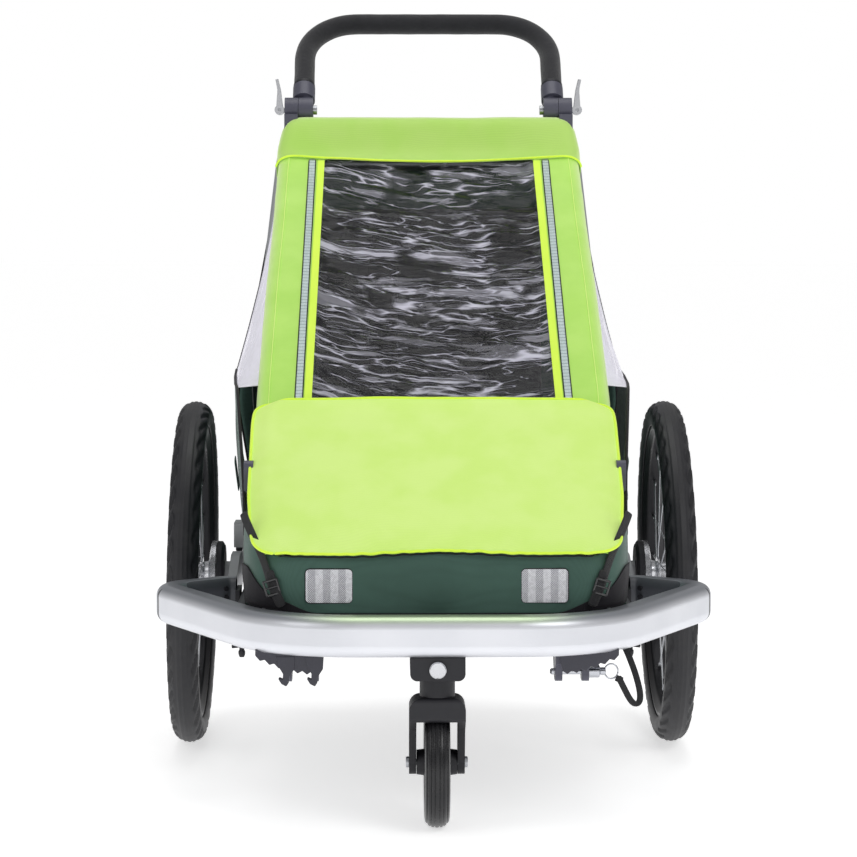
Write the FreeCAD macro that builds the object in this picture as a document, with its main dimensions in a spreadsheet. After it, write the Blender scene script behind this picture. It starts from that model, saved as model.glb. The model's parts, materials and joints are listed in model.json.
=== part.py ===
"""Child bicycle trailer with a front caster, a fold-down body frame and sprung wheels.

Millimetres. +Z is up, the trailer drives towards -Y and its own left side is +X. The origin is on the
ground, under the middle of the whole object. Every size is an alias of the spreadsheet "dims".
"""
import FreeCAD, Part
import math
import os
import re

import Sketcher

os.makedirs("parts", exist_ok=True)
doc = FreeCAD.newDocument("child_trailer")
V = FreeCAD.Vector
X_AXIS = V(1, 0, 0)
Y_AXIS = V(0, 1, 0)
Z_AXIS = V(0, 0, 1)
SIDES = ((1, "left"), (-1, "right"))

DIMENSIONS = """
gap            0.1     clearance between pieces that are only laid together
run            0.05    radial clearance of a running fit
track_half     347     middle of a wheel from the middle of the trailer
axle_y         167     wheel axle
axle_z         249.97  wheel axle height, so that the leaning tyre just touches the ground
camber         1       lean of each wheel, tops inward, degrees
ring_radius    226.5   middle of the tyre's section from the axle
tyre_section   23.5    radius of the tyre's section
tyre_wall      3       thickness of the tyre
bead_radius    214     where the tyre sits on the rim
rim_inner      201     inside of the rim
rim_half       16      half the rim's width
rim_wall       3       thickness of the rim
spoke_radius   1       half a spoke's thickness
spoke_count    20      spokes in a wheel
spoke_reach    12      sideways offset of the spokes at the hub
axle_radius    6       wheel axle
flange_radius  20.5    hub flange
ring_outer     45      brake ring and brake housing
slot_width     7.6     slot of the brake ring
slot_count     24      slots of the brake ring
slot_radius    38      middle of a slot, and of the brake pin, from the axle
pin_radius     3.5     brake pin
button_radius  4       push button of a wheel axle
tube_radius    12.5    floor frame tube
tube_wall      2       wall of every frame tube
rail_x         250     side rail
rail_z         250     side rail height
rail_front     -440    front tube of the floor frame
rail_rear      457     rear end of the side rails
rail_bend      145     front bends of the floor frame
cross_y        445     rear cross tube
pivot_y        17      suspension pivot
pivot_z        225     suspension pivot height
pivot_radius   10      suspension pivot tube
pivot_bolt     5       radius of the suspension pivot bolt
arm_inner      278     inner face of a suspension arm
arm_outer      291     outer face of a suspension arm
tab_top        262     top of the arm's rear tab
lip_bottom     303     underside of the tower's lip
tower_front    212     front of the suspension tower
tower_rear     282     rear of the suspension tower
tray_half      236     half the floor tray's width
tray_front     -426    front of the floor tray
tray_rear      424     rear of the floor tray
tray_bottom    238     underside of the floor tray
tray_top       262     rim of the floor tray
sheet_wall     4       wall of the floor tray
bumper_y       -512    middle of the bumper's front tube
bumper_z       252.5   middle of the bumper's height
bumper_depth   42      depth of the bumper's section
bumper_height  51      height of the bumper's section
bumper_round   15      rounding of the bumper's section
bumper_wall    3       wall of the bumper's section
corner_x       198     where the bumper's front and side lines meet
corner_bend    160     front bends of the bumper
side_x         363     where the bumper's side and return lines meet
side_reach     326     the same point behind the bumper's front tube
side_bend      50      side bends of the bumper
return_x       283     end of the bumper's returning leg
return_turn    38.7    turn of the returning leg, degrees
return_bend    24      inner bends of the bumper
bumper_end     268.5   inner end of the bumper
mount_half     30      half the length of a bumper mount
rivet_along    15      rivets of the bumper, along its returning leg
rivet_pitch    12      from one rivet to the next
rivet_radius   3.5     rivet head
rivet_height   2.5     height of a rivet head
hoop_radius    11      hoop and handle tube
hinge_bolt     4       radius of hinge bolts
ear_gap        12.8    hoop hinge ears from the middle of the leg
ear_wall       3       thickness of a hinge ear
ear_half       13      half the width of a hinge ear
front_foot_x   204     foot of the front hoop
front_top_x    197     top corner of the front hoop
front_hinge_y  -406.7  front hoop hinge
front_hinge_z  316.6   front hoop hinge height
front_length   922     front hoop, hinge to top tube
front_rise     35.36   slope of the front hoop, degrees
rear_foot_x    250     foot of the rear hoop
rear_belly_x   262     widest place of the rear hoop
rear_top_x     216     top corner of the rear hoop
rear_hinge_y   417     rear hoop hinge
rear_hinge_z   285     rear hoop hinge height
rear_length    610     rear hoop, hinge to top tube
rear_lean      4.7     forward lean of the rear hoop, degrees
hoop_tail      12      hoop below its hinge
hoop_bend      50      top bends of the hoops
belly_along    245     widest place of the rear hoop from its hinge
belly_bend     250     bend at the widest place of the rear hoop
lock_along     151     lock lever from the hinge of the front hoop
lock_inner     236.5   inner face of a lock lever
lock_outer     249     outer face of a lock lever
handle_y       380     handle hinge
handle_z       932     handle hinge height
handle_x       190.5   handle leg
handle_length  196     handle hinge to the middle of the top bar
handle_rise    45.6    slope of the handle, degrees
handle_bend    80      bends of the handle
foam_radius    16      foam grip
knuckle_radius 19      handle knuckle
knuckle_split  198.25  joint face between the two knuckles
knuckle_inner  176     inner face of the upper knuckle
saddle_outer   219     outer face of the lower knuckle
saddle_foot    868     lower end of the lower knuckle
collar_radius  17      collar of the upper knuckle
cam_x          227     cam of the clamp lever
cam_radius     7.5     radius of the cam
cross_pin      2.5     radius of the clamp bolt's cross pin
caster_y       -478    swivel axis of the caster
caster_axle_y  -438    axle of the caster wheel
caster_radius  82      caster tyre
caster_half    16      half the caster tyre's width
fork_half      35      half the fork's width
fork_gap       26      half the fork's gap
crown_z        173     top of the fork's crown
crown_round    16      rounding of the crown's shoulders
stem_radius    8       swivel stem
dock_bottom    198     underside of the caster dock
dock_top       226.9   top of the caster dock below the bumper
dock_half      45      half the length of the caster dock
release_z      212     release button of the caster
release_radius 10.5    release button of the caster
hitch_y        -440    hitch pin
hitch_z        197     hitch pin height
hitch_radius   4       hitch pin
cheek_inner    148     inner face of the hitch receiver
cheek_wall     9       thickness of a receiver cheek
cheek_pitch    33.5    from one cheek to the next
roof_end       212     outer end of the hitch receiver's roof
cushion_half   184     half the width of the seat cushions
seat_top       345     top of the seat cushion
back_y         234     foot of the backrest's front face
back_z         350     foot of the backrest's front face, height
back_lean      12.3    lean of the backrest, degrees
back_height    460     height of the back cushion
back_depth     40      thickness of the back cushion
cover_half     236     half the rain cover's width
cover_skin     2       thickness of the rain cover
hem_y          -447    front hem of the rain cover
hem_z          337     front hem height
slope_y        331     top of the cover's slope
slope_z        862     top of the cover's slope
roof_y         345     front edge of the roof
roof_z         914     top of the roof
window_half    172     half the rain cover's window
window_front   -182    front of the window
window_rear    300     rear of the window
fabric         2.5     thickness of the body fabric
panel_x        262     foot of a side panel
panel_foot     264     lower edge of the fabric body
panel_lean     5       outward lean of a side panel, degrees
panel_toe      1       turn of a side panel, wider at the rear, degrees
window_foot_x  290     lower edge of a side window
window_lean    9.7     inward lean of a side window, degrees
front_half     206     half the front panel's width
shoulder_z     535     where the side window is sewn to the side panel
"""

sheet = doc.addObject("Spreadsheet::Sheet", "dims")
aliases = set()
for number, line in enumerate(DIMENSIONS.strip().splitlines(), start=1):
    name, amount, note = line.split(None, 2)
    sheet.set(f"A{number}", note)
    sheet.set(f"B{number}", amount)
    sheet.setAlias(f"B{number}", name)
    aliases.add(name)
doc.recompute()


# Helpers: every length is a text expression of aliases, bound to the sheet


def bound(expression):
    """The expression with each alias pointing at the sheet."""
    return re.sub(
        r"[a-z_]+", lambda w: f"dims.{w[0]}" if w[0] in aliases else w[0], str(expression)
    )


def value(expression):
    return float(sheet.evalExpression(bound(expression)))


def bind(thing, prop, expression):
    thing.setExpression(prop, bound(expression))


def stand(thing, x=0, y=0, z=0, turn=None):
    """Gives an object its place, and its turn as (axis, angle in degrees)."""
    rotation = FreeCAD.Rotation(turn[0], value(turn[1])) if turn else thing.Placement.Rotation
    thing.Placement = FreeCAD.Placement(V(value(x), value(y), value(z)), rotation)
    for letter, expression in zip("xyz", (x, y, z)):
        bind(thing, f".Placement.Base.{letter}", expression)
    return thing


def sided(side, near, far):
    """The two ends along X of something between near and far from the middle."""
    return (f"{near}", f"{far}") if side > 0 else (f"-({far})", f"-({near})")


def cylinder(label, axis, radius, start, end, first, second):
    """A round bar along an axis; first and second are its two other coordinates, in order."""
    bar = doc.addObject("Part::Cylinder", label)
    bind(bar, "Radius", radius)
    bind(bar, "Height", f"({end}) - ({start})")
    bar.Placement.Rotation = FreeCAD.Rotation(Z_AXIS, axis)
    if axis == X_AXIS:
        return stand(bar, start, first, second)
    if axis == Y_AXIS:
        return stand(bar, first, start, second)
    return stand(bar, first, second, start)


def box(label, x, y, z):
    """A block; x, y and z are (low, high)."""
    block = doc.addObject("Part::Box", label)
    for prop, (low, high) in zip(("Length", "Width", "Height"), (x, y, z)):
        bind(block, prop, f"({high}) - ({low})")
    return stand(block, x[0], y[0], z[0])


def fuse(label, *pieces):
    union = doc.addObject("Part::MultiFuse", label)
    union.Shapes = list(pieces)
    union.Refine = True
    return union


def common(label, *pieces):
    """What the pieces share."""
    shared = doc.addObject("Part::MultiCommon", label)
    shared.Shapes = list(pieces)
    return shared


def group(label, *pieces):
    """Separate solids of one kind in one node."""
    together = doc.addObject("Part::Compound", label)
    together.Links = list(pieces)
    return together


def cut(label, base, *tools):
    rest = doc.addObject("Part::Cut", label)
    rest.Base = base
    rest.Tool = tools[0] if len(tools) == 1 else group(f"{label}_tools", *tools)
    return rest


def mirrored(label, piece):
    twin = doc.addObject("Part::Mirroring", label)
    twin.Source = piece
    twin.Normal = X_AXIS
    return twin


def draw(sketch, corners, closed=True):
    """A path through corners (a, b) or (a, b, bend radius), each bound to the sheet."""
    count = len(corners)
    spots = [V(value(c[0]), value(c[1]), 0) for c in corners]
    ends = {}
    for i, corner in enumerate(corners):
        if len(corner) < 3:
            ends[i] = (spots[i], spots[i])
            continue
        before = (spots[i - 1] - spots[i]).normalize()
        after = (spots[(i + 1) % count] - spots[i]).normalize()
        half = before.getAngle(after) / 2
        reach = value(corner[2]) / math.tan(half)
        ends[i] = (spots[i] + before * reach, spots[i] + after * reach)
    lines = {}
    for i in range(count if closed else count - 1):
        line = Part.LineSegment(ends[i][1], ends[(i + 1) % count][0])
        lines[i] = sketch.addGeometry(line)
    for i, corner in enumerate(corners):
        arriving = lines.get((i - 1) % count if closed else i - 1)
        leaving = lines.get(i)
        if len(corner) < 3:
            owner = (leaving, 1) if leaving is not None else (arriving, 2)
            if arriving is not None and leaving is not None:
                sketch.addConstraint(Sketcher.Constraint("Coincident", arriving, 2, leaving, 1))
        else:
            turn_left = (spots[i] - spots[i - 1]).cross(spots[(i + 1) % count] - spots[i]).z > 0
            first, second = ends[i] if turn_left else ends[i][::-1]
            radius = value(corner[2])
            inward = (ends[i][0] + ends[i][1]) / 2 - spots[i]
            reach = math.hypot(radius, (ends[i][0] - spots[i]).Length)
            middle = spots[i] + inward.normalize() * reach
            angles = [math.atan2(p.y - middle.y, p.x - middle.x) for p in (first, second)]
            circle = Part.Circle(middle, Z_AXIS, radius)
            arc = sketch.addGeometry(Part.ArcOfCircle(circle, *angles))
            start, stop = (1, 2) if turn_left else (2, 1)
            sketch.addConstraint(Sketcher.Constraint("Tangent", arriving, 2, arc, start))
            sketch.addConstraint(Sketcher.Constraint("Tangent", arc, stop, leaving, 1))
            number = sketch.addConstraint(Sketcher.Constraint("Radius", arc, radius))
            bind(sketch, f"Constraints[{number}]", corner[2])
            apex = sketch.addGeometry(Part.Point(spots[i]), True)
            sketch.addConstraint(Sketcher.Constraint("PointOnObject", apex, 1, arriving))
            sketch.addConstraint(Sketcher.Constraint("PointOnObject", apex, 1, leaving))
            owner = (apex, 1)
        for kind, spot, expression in zip(
            ("DistanceX", "DistanceY"), (spots[i].x, spots[i].y), corner[:2]
        ):
            number = sketch.addConstraint(Sketcher.Constraint(kind, -1, 1, *owner, spot))
            bind(sketch, f"Constraints[{number}]", expression)


def sketch_on(body, role, name):
    plane = next(f for f in body.Origin.OriginFeatures if f.Role == role)
    sketch = body.newObject("Sketcher::SketchObject", name)
    sketch.AttachmentSupport = [(plane, "")]
    sketch.MapMode = "FlatFace"
    return sketch


def plate(label, plane, corners, low, high):
    """An outline on a plane ("XY", "XZ" or "YZ"), as thick as from low to high across it."""
    body = doc.addObject("PartDesign::Body", label)
    sketch = sketch_on(body, f"{plane}_Plane", f"{label}_outline")
    draw(sketch, corners)
    pad = body.newObject("PartDesign::Pad", f"{label}_pad")
    pad.Profile = sketch
    bind(pad, "Length", f"({high}) - ({low})")
    if plane == "XY":
        return stand(body, 0, 0, low)
    if plane == "XZ":
        return stand(body, 0, high, 0)
    return stand(body, low, 0, 0)


def turned(label, corners):
    """A piece turned about its own X axis; corners are (along, radius)."""
    body = doc.addObject("PartDesign::Body", label)
    sketch = sketch_on(body, "XZ_Plane", f"{label}_section")
    draw(sketch, corners)
    turn = body.newObject("PartDesign::Revolution", f"{label}_turn")
    turn.Profile = sketch
    turn.ReferenceAxis = (sketch, ["H_Axis"])
    turn.Angle = 360
    return body


def rings(sketch, middle, *radii):
    for radius in radii:
        centre = V(value(middle), 0, 0)
        circle = sketch.addGeometry(Part.Circle(centre, Z_AXIS, value(radius)))
        for kind, expression in (("DistanceX", middle), ("Radius", radius)):
            place = (-1, 1, circle, 3) if kind == "DistanceX" else (circle,)
            number = sketch.addConstraint(Sketcher.Constraint(kind, *place, value(expression)))
            bind(sketch, f"Constraints[{number}]", expression)
        sketch.addConstraint(Sketcher.Constraint("PointOnObject", circle, 3, -1))


def bent_bar(label, corners, *radii):
    """A bent tube, or a bar with one radius, in its own XY plane; it starts at the first corner
    and heads along Y."""
    body = doc.addObject("PartDesign::Body", label)
    spine = sketch_on(body, "XY_Plane", f"{label}_path")
    draw(spine, corners, closed=False)
    section = sketch_on(body, "XZ_Plane", f"{label}_section")
    rings(section, corners[0][0], *radii)
    doc.recompute()
    pipe = body.newObject("PartDesign::AdditivePipe", f"{label}_pipe")
    pipe.Profile = section
    pipe.Spine = (spine, [])
    return body


# Floor frame, bumper and what is fastened to them


def floor_frame():
    length = "rail_front - rail_rear"
    corners = [
        ("rail_x", "0"),
        ("rail_x", length, "rail_bend"),
        ("-rail_x", length, "rail_bend"),
        ("-rail_x", "0"),
    ]
    rails = bent_bar("rails", corners, "tube_radius", "tube_radius - tube_wall")
    stand(rails, 0, "rail_rear", "rail_z")
    cross = cylinder("cross", X_AXIS, "tube_radius", "-rail_x", "rail_x", "cross_y", "rail_z")
    hollow = cylinder(
        "cross_bore", X_AXIS, "tube_radius - tube_wall",
        "-rail_x + tube_radius", "rail_x - tube_radius", "cross_y", "rail_z",
    )
    reach = "arm_inner - gap"
    pivot = cylinder("pivot", X_AXIS, "pivot_radius", f"-({reach})", reach, "pivot_y", "pivot_z")
    bore = cylinder(
        "pivot_bore", X_AXIS, "pivot_bolt + run", f"-({reach})", reach, "pivot_y", "pivot_z"
    )
    hangers = [
        box(f"{name}_hanger", sided(side, "rail_x - 6", "rail_x + 6"),
            ("pivot_y - 10", "pivot_y + 10"), ("pivot_z", "rail_z - tube_radius + tube_wall"))
        for side, name in SIDES
    ]
    cross_tube = cut("cross_tube", cross, hollow)
    return cut("floor_frame", fuse("welded", rails, cross_tube, pivot, *hangers), bore)


def tray_block(label, inset, low, high):
    """A block with two rounded front corners, smaller than the tray all round by inset."""
    half, corner = f"tray_half - {inset}", f"rail_bend - rail_x + tray_half - {inset}"
    return plate(label, "XY", [
        (half, f"tray_rear - {inset}"),
        (f"-({half})", f"tray_rear - {inset}"),
        (f"-({half})", f"tray_front + {inset}", corner),
        (half, f"tray_front + {inset}", corner),
    ], low, high)


def floor_tray():
    inside = tray_block("tray_inside", "sheet_wall", "tray_bottom + sheet_wall", "tray_top")
    return cut("floor_tray", tray_block("tray_outside", "0", "tray_bottom", "tray_top"), inside)


RETURN_REACH = "(side_reach + (side_x - return_x) * tan(return_turn))"


def bumper_half(label, inset):
    """Half of the bumper as a bar, smaller all round by inset."""
    body = doc.addObject("PartDesign::Body", label)
    path = sketch_on(body, "XY_Plane", f"{label}_path")
    draw(path, [
        ("0", "0"),
        ("corner_x", "0", "corner_bend"),
        ("side_x", "side_reach", "side_bend"),
        ("return_x", RETURN_REACH, "return_bend"),
        ("bumper_end", RETURN_REACH),
    ], closed=False)
    section = sketch_on(body, "YZ_Plane", f"{label}_section")
    half_depth, half_height = f"bumper_depth / 2 - {inset}", f"bumper_height / 2 - {inset}"
    corner = f"bumper_round - {inset}"
    draw(section, [
        (f"-({half_depth})", f"-({half_height})", corner),
        (half_depth, f"-({half_height})", corner),
        (half_depth, half_height, corner),
        (f"-({half_depth})", half_height, corner),
    ])
    doc.recompute()
    pipe = body.newObject("PartDesign::AdditivePipe", f"{label}_pipe")
    pipe.Profile = section
    pipe.Spine = (path, [])
    return stand(body, 0, "bumper_y", "bumper_z")


def front_bumper():
    half = cut("bumper_left", bumper_half("bumper_bar", "0"),
               bumper_half("bumper_core", "bumper_wall"))
    return fuse("front_bumper", half, mirrored("bumper_right", half))


def bumper_mounts():
    """Blocks between the side rails and the ends of the bumper."""
    middle = f"bumper_y + {RETURN_REACH}"
    rail = "rail_x + tube_radius + gap"
    return group("bumper_mounts", *[
        box(f"{name}_mount", sided(side, rail, "bumper_end - gap"),
            (f"{middle} - mount_half", f"{middle} + mount_half"),
            ("rail_z - tube_radius", "rail_z + tube_radius"))
        for side, name in SIDES
    ])


def bumper_rivets():
    """Rivets on the forward faces of the bumper's returning legs."""
    rivets = []
    out = "(bumper_depth / 2 + gap)"
    across = f"return_x + rivet_along * cos(return_turn) - {out} * sin(return_turn)"
    along = f"{RETURN_REACH} - rivet_along * sin(return_turn) - {out} * cos(return_turn)"
    turn = math.radians(value("return_turn"))
    for side, name in SIDES:
        facing = V(-math.sin(turn) * side, -math.cos(turn), 0)
        for level in (-1, 0, 1):
            rivet = doc.addObject("Part::Cylinder", f"{name}_rivet")
            bind(rivet, "Radius", "rivet_radius")
            bind(rivet, "Height", "rivet_height")
            rivet.Placement.Rotation = FreeCAD.Rotation(Z_AXIS, facing)
            stand(rivet, f"{side} * ({across})", f"bumper_y + {along}",
                  f"bumper_z + {level} * rivet_pitch")
            rivets.append(rivet)
    return group("bumper_rivets", *rivets)


def hoop_brackets():
    """Four U-shaped hinge brackets that stand on the floor frame."""
    brackets = []
    base = "rail_z + tube_radius + gap"
    for side, name in SIDES:
        for end, leg, y, z in (
            ("front", "front_foot_x", "front_hinge_y", "front_hinge_z"),
            ("rear", "rear_foot_x", "rear_hinge_y", "rear_hinge_z"),
        ):
            outer = "ear_gap + ear_wall"
            block = box(f"{name}_{end}_block", sided(side, f"{leg} - {outer}", f"{leg} + {outer}"),
                        (f"{y} - ear_half", f"{y} + ear_half"), (base, f"{z} + ear_half"))
            space = box(f"{name}_{end}_space", sided(side, f"{leg} - ear_gap", f"{leg} + ear_gap"),
                        (f"{y} - ear_half", f"{y} + ear_half"),
                        (f"{base} + ear_wall", f"{z} + ear_half"))
            low, high = sided(side, f"{leg} - {outer}", f"{leg} + {outer}")
            hole = cylinder(f"{name}_{end}_hole", X_AXIS, "hinge_bolt + run", low, high, y, z)
            brackets.append(cut(f"{name}_{end}_bracket", block, space, hole))
    return group("hoop_brackets", *brackets)


def hoop_bolts():
    bolts = []
    for side, name in SIDES:
        for end, leg, y, z in (
            ("front", "front_foot_x", "front_hinge_y", "front_hinge_z"),
            ("rear", "rear_foot_x", "rear_hinge_y", "rear_hinge_z"),
        ):
            inner = f"{leg} - ear_gap - ear_wall"
            outer = f"{leg} + ear_gap + ear_wall"
            shank = cylinder(f"{name}_{end}_shank", X_AXIS, "hinge_bolt",
                             *sided(side, f"{inner} - 5", outer), y, z)
            head = cylinder(f"{name}_{end}_head", X_AXIS, "hinge_bolt + 3",
                            *sided(side, f"{inner} - 5", f"{inner} - gap"), y, z)
            bolts.append(fuse(f"{name}_{end}_bolt", shank, head))
    return group("hoop_bolts", *bolts)


# Hitch receivers and the caster's dock


def hitch_receivers():
    receivers = []
    top = "rail_z - tube_radius - gap"
    for side, name in SIDES:
        bore = "hitch_radius + run" if side > 0 else "hitch_radius + 0.25"
        cheeks = []
        for number in range(2):
            near = f"cheek_inner + {number} * cheek_pitch"
            corners = [
                ("hitch_y - 12", top),
                ("hitch_y + 47", top),
                ("hitch_y + 42", "hitch_z + 15", "6"),
                ("hitch_y + 14", "hitch_z - 11", "8"),
                ("hitch_y - 14", "hitch_z - 11", "8"),
                ("hitch_y - 16", "hitch_z + 10", "4"),
                ("hitch_y - 26", "hitch_z + 12", "3"),
                ("hitch_y - 28", f"{top} - 13"),
            ]
            cheeks.append(plate(f"{name}_cheek_{number + 1}", "YZ", corners,
                                *sided(side, near, f"{near} + cheek_wall")))
        end = "cheek_inner + cheek_pitch + cheek_wall"
        roof = box(f"{name}_roof", sided(side, "cheek_inner", "roof_end"),
                   ("hitch_y + 15", "hitch_y + 47"), (f"{top} - 8", top))
        gusset = plate(f"{name}_gusset", "XZ", [
            (f"{side} * ({end} - 1)", f"{top} - 4"),
            (f"{side} * roof_end", f"{top} - 4"),
            (f"{side} * roof_end", f"{top} - 10"),
            (f"{side} * ({end} - 1)", "hitch_z + 11"),
        ], "hitch_y + 20", "hitch_y + 30")
        hole = cylinder(f"{name}_pin_hole", X_AXIS, bore,
                        *sided(side, "cheek_inner - 1", f"{end} + 1"), "hitch_y", "hitch_z")
        receivers.append(cut(f"{name}_receiver", fuse(f"{name}_hook", *cheeks, roof, gusset), hole))
    return group("hitch_receivers", *receivers)


def hitch_pin():
    """Quick-release pin that locks a tow bar into the left receiver."""
    reach = "cheek_inner + cheek_pitch + cheek_wall + gap"
    pin = turned("hitch_pin", [
        ("cheek_inner - 6", "0"),
        ("cheek_inner - 6", "hitch_radius - 1.5"),
        ("cheek_inner - 4", "hitch_radius"),
        (reach, "hitch_radius"),
        (reach, "8"),
        (f"{reach} + 13", "8"),
        (f"{reach} + 15", "5"),
        (f"{reach} + 21", "5"),
        (f"{reach} + 22", "0"),
    ])
    return stand(pin, 0, "hitch_y", "hitch_z")


def caster_dock():
    lower = plate("dock_lower", "XZ", [
        ("-34", "dock_bottom", "9"),
        ("34", "dock_bottom", "9"),
        ("34", "dock_top"),
        ("-34", "dock_top"),
    ], "caster_y - dock_half", "caster_y + dock_half")
    upper = box("dock_upper", ("-30", "30"), ("bumper_y + bumper_depth / 2 + gap",
                "rail_front - tube_radius - gap"), ("dock_top - 1", "255"))
    collar = cylinder("dock_collar", Z_AXIS, "22", "crown_z + gap", "dock_bottom + 1",
                      "0", "caster_y")
    bore = cylinder("dock_bore", Z_AXIS, "stem_radius + run", "crown_z", "228", "0", "caster_y")
    pocket = cylinder("dock_pocket", Y_AXIS, "release_radius + gap", "caster_y - dock_half - 1",
                      "caster_y - 20", "0", "release_z")
    return cut("caster_dock", fuse("dock", lower, upper, collar), bore, pocket)


def caster_release_button():
    button = turned("release_disc", [
        ("0", "0"),
        ("0", "release_radius - 1.5"),
        ("1.5", "release_radius"),
        ("17", "release_radius"),
        ("17", "0"),
    ])
    button.Label = "caster_release_button"
    return stand(button, 0, "caster_y - 50", "release_z", (Z_AXIS, "90"))


# Caster


def caster_fork():
    y, z = "caster_axle_y", "caster_radius"
    side_view = plate("fork_side", "YZ", [
        ("caster_y - 25", "crown_z", "6"),
        ("caster_y + 24", "crown_z", "8"),
        ("caster_y + 54", "crown_z - 50", "20"),
        (f"{y} + 15", z),
        (f"{y} - 15", z),
        ("caster_y + 8", "crown_z - 46", "14"),
        ("caster_y - 24", "crown_z - 28", "6"),
    ], "-fork_half", "fork_half")
    ends = cylinder("fork_ends", X_AXIS, "15", "-fork_half", "fork_half", y, z)
    front_view = plate("fork_front", "XZ", [
        ("-fork_half", f"{z} - 16"),
        ("fork_half", f"{z} - 16"),
        ("fork_half", "crown_z", "crown_round"),
        ("-fork_half", "crown_z", "crown_round"),
    ], "caster_y - 26", "caster_y + 56")
    shell = common("fork_shell", fuse("fork_body", side_view, ends), front_view)
    arch = cylinder("fork_arch", X_AXIS, "caster_radius + 3", "-fork_gap", "fork_gap", y, z)
    space = box("fork_space", ("-fork_gap", "fork_gap"), (f"{y} - 16", f"{y} + 40"),
                ("0", "crown_z - 40"))
    stem = cylinder("fork_stem", Z_AXIS, "stem_radius", "crown_z - 4", "226", "0", "caster_y")
    hole = cylinder("fork_hole", X_AXIS, "hinge_bolt + run", "-fork_half", "fork_half", y, z)
    return cut("caster_fork", fuse("fork", shell, stem), arch, space, hole)


def caster_axle():
    bolt = turned("caster_axle", [
        ("-fork_half - 4", "0"),
        ("-fork_half - 4", "6"),
        ("-fork_half - 3", "7"),
        ("-fork_half - gap", "7"),
        ("-fork_half - gap", "hinge_bolt"),
        ("fork_half + gap", "hinge_bolt"),
        ("fork_half + gap", "7"),
        ("fork_half + 3", "7"),
        ("fork_half + 4", "6"),
        ("fork_half + 4", "0"),
    ])
    return stand(bolt, 0, "caster_axle_y", "caster_radius")


def caster_rim():
    hub_half, web, edge = "fork_gap - 0.5", "6", "caster_half - 3"
    disc = turned("caster_disc", [
        (f"-({hub_half})", "hinge_bolt + run"),
        (hub_half, "hinge_bolt + run"),
        (hub_half, "15.5"),
        (web, "18"),
        (web, "53"),
        (edge, "56"),
        (edge, "61.9"),
        (f"-({edge})", "61.9"),
        (f"-({edge})", "56"),
        (f"-{web}", "53"),
        (f"-{web}", "18"),
        (f"-({hub_half})", "15.5"),
    ])
    windows = [
        cylinder(f"caster_window_{n}", X_AXIS, "11", f"-{web}", web,
                 f"36 * cos({n * 72})", f"36 * sin({n * 72})")
        for n in range(5)
    ]
    return stand(cut("caster_rim", disc, *windows), 0, "caster_axle_y", "caster_radius")


def caster_tyre():
    tyre = turned("caster_tyre", [
        ("-caster_half + 2", "62"),
        ("caster_half - 2", "62"),
        ("caster_half", "66"),
        ("caster_half", "caster_radius", "13"),
        ("-caster_half", "caster_radius", "13"),
        ("-caster_half", "66"),
    ])
    return stand(tyre, 0, "caster_axle_y", "caster_radius")


# Hoops


def rear_hoop_bar(label, *radii):
    hoop = bent_bar(label, [
        ("rear_foot_x", "0"),
        ("rear_belly_x", "belly_along + hoop_tail", "belly_bend"),
        ("rear_top_x", "rear_length + hoop_tail", "hoop_bend"),
        ("-rear_top_x", "rear_length + hoop_tail", "hoop_bend"),
        ("-rear_belly_x", "belly_along + hoop_tail", "belly_bend"),
        ("-rear_foot_x", "0"),
    ], *radii)
    return stand(hoop, 0, "rear_hinge_y + hoop_tail * sin(rear_lean)",
                 "rear_hinge_z - hoop_tail * cos(rear_lean)", (X_AXIS, "90 + rear_lean"))


def rear_hoop():
    tube = rear_hoop_bar("rear_tube", "hoop_radius", "hoop_radius - tube_wall")
    hole = cylinder("rear_hinge_hole", X_AXIS, "hinge_bolt + run", "-rear_belly_x - 20",
                    "rear_belly_x + 20", "rear_hinge_y", "rear_hinge_z")
    return cut("rear_hoop", tube, hole)


def front_hoop_bar(label, *radii):
    hoop = bent_bar(label, [
        ("front_foot_x", "0"),
        ("front_top_x", "front_length + hoop_tail", "hoop_bend"),
        ("-front_top_x", "front_length + hoop_tail", "hoop_bend"),
        ("-front_foot_x", "0"),
    ], *radii)
    return stand(hoop, 0, "front_hinge_y - hoop_tail * cos(front_rise)",
                 "front_hinge_z - hoop_tail * sin(front_rise)", (X_AXIS, "front_rise"))


LOCK_PLACE = (
    "front_hinge_y + lock_along * cos(front_rise)",
    "front_hinge_z + lock_along * sin(front_rise)",
)


def front_hoop():
    """The tube and, on each leg, the stud that carries its lock lever."""
    tube = front_hoop_bar("front_tube", "hoop_radius", "hoop_radius - tube_wall")
    y, z = LOCK_PLACE
    studs = []
    for side, name in SIDES:
        base = cylinder(f"{name}_stud_base", X_AXIS, "7", *sided(side, "lock_inner - 25.5", "lock_inner - 0.5"),
                        y, z)
        pin = cylinder(f"{name}_stud_pin", X_AXIS, "hinge_bolt", *sided(side, "lock_inner - 1.5", "lock_outer + 0.5"),
                       y, z)
        head = cylinder(f"{name}_stud_head", X_AXIS, "6", *sided(side, "lock_outer + 0.2", "lock_outer + 3"),
                        y, z)
        studs.append(fuse(f"{name}_stud", base, pin, head))
    inside = front_hoop_bar("front_inside", "hoop_radius - tube_wall")
    hole = cylinder("front_hinge_hole", X_AXIS, "hinge_bolt + run", "-front_foot_x - 20",
                    "front_foot_x + 20", "front_hinge_y", "front_hinge_z")
    return cut("front_hoop", fuse("front_fused", tube, *studs), inside, hole)


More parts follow.
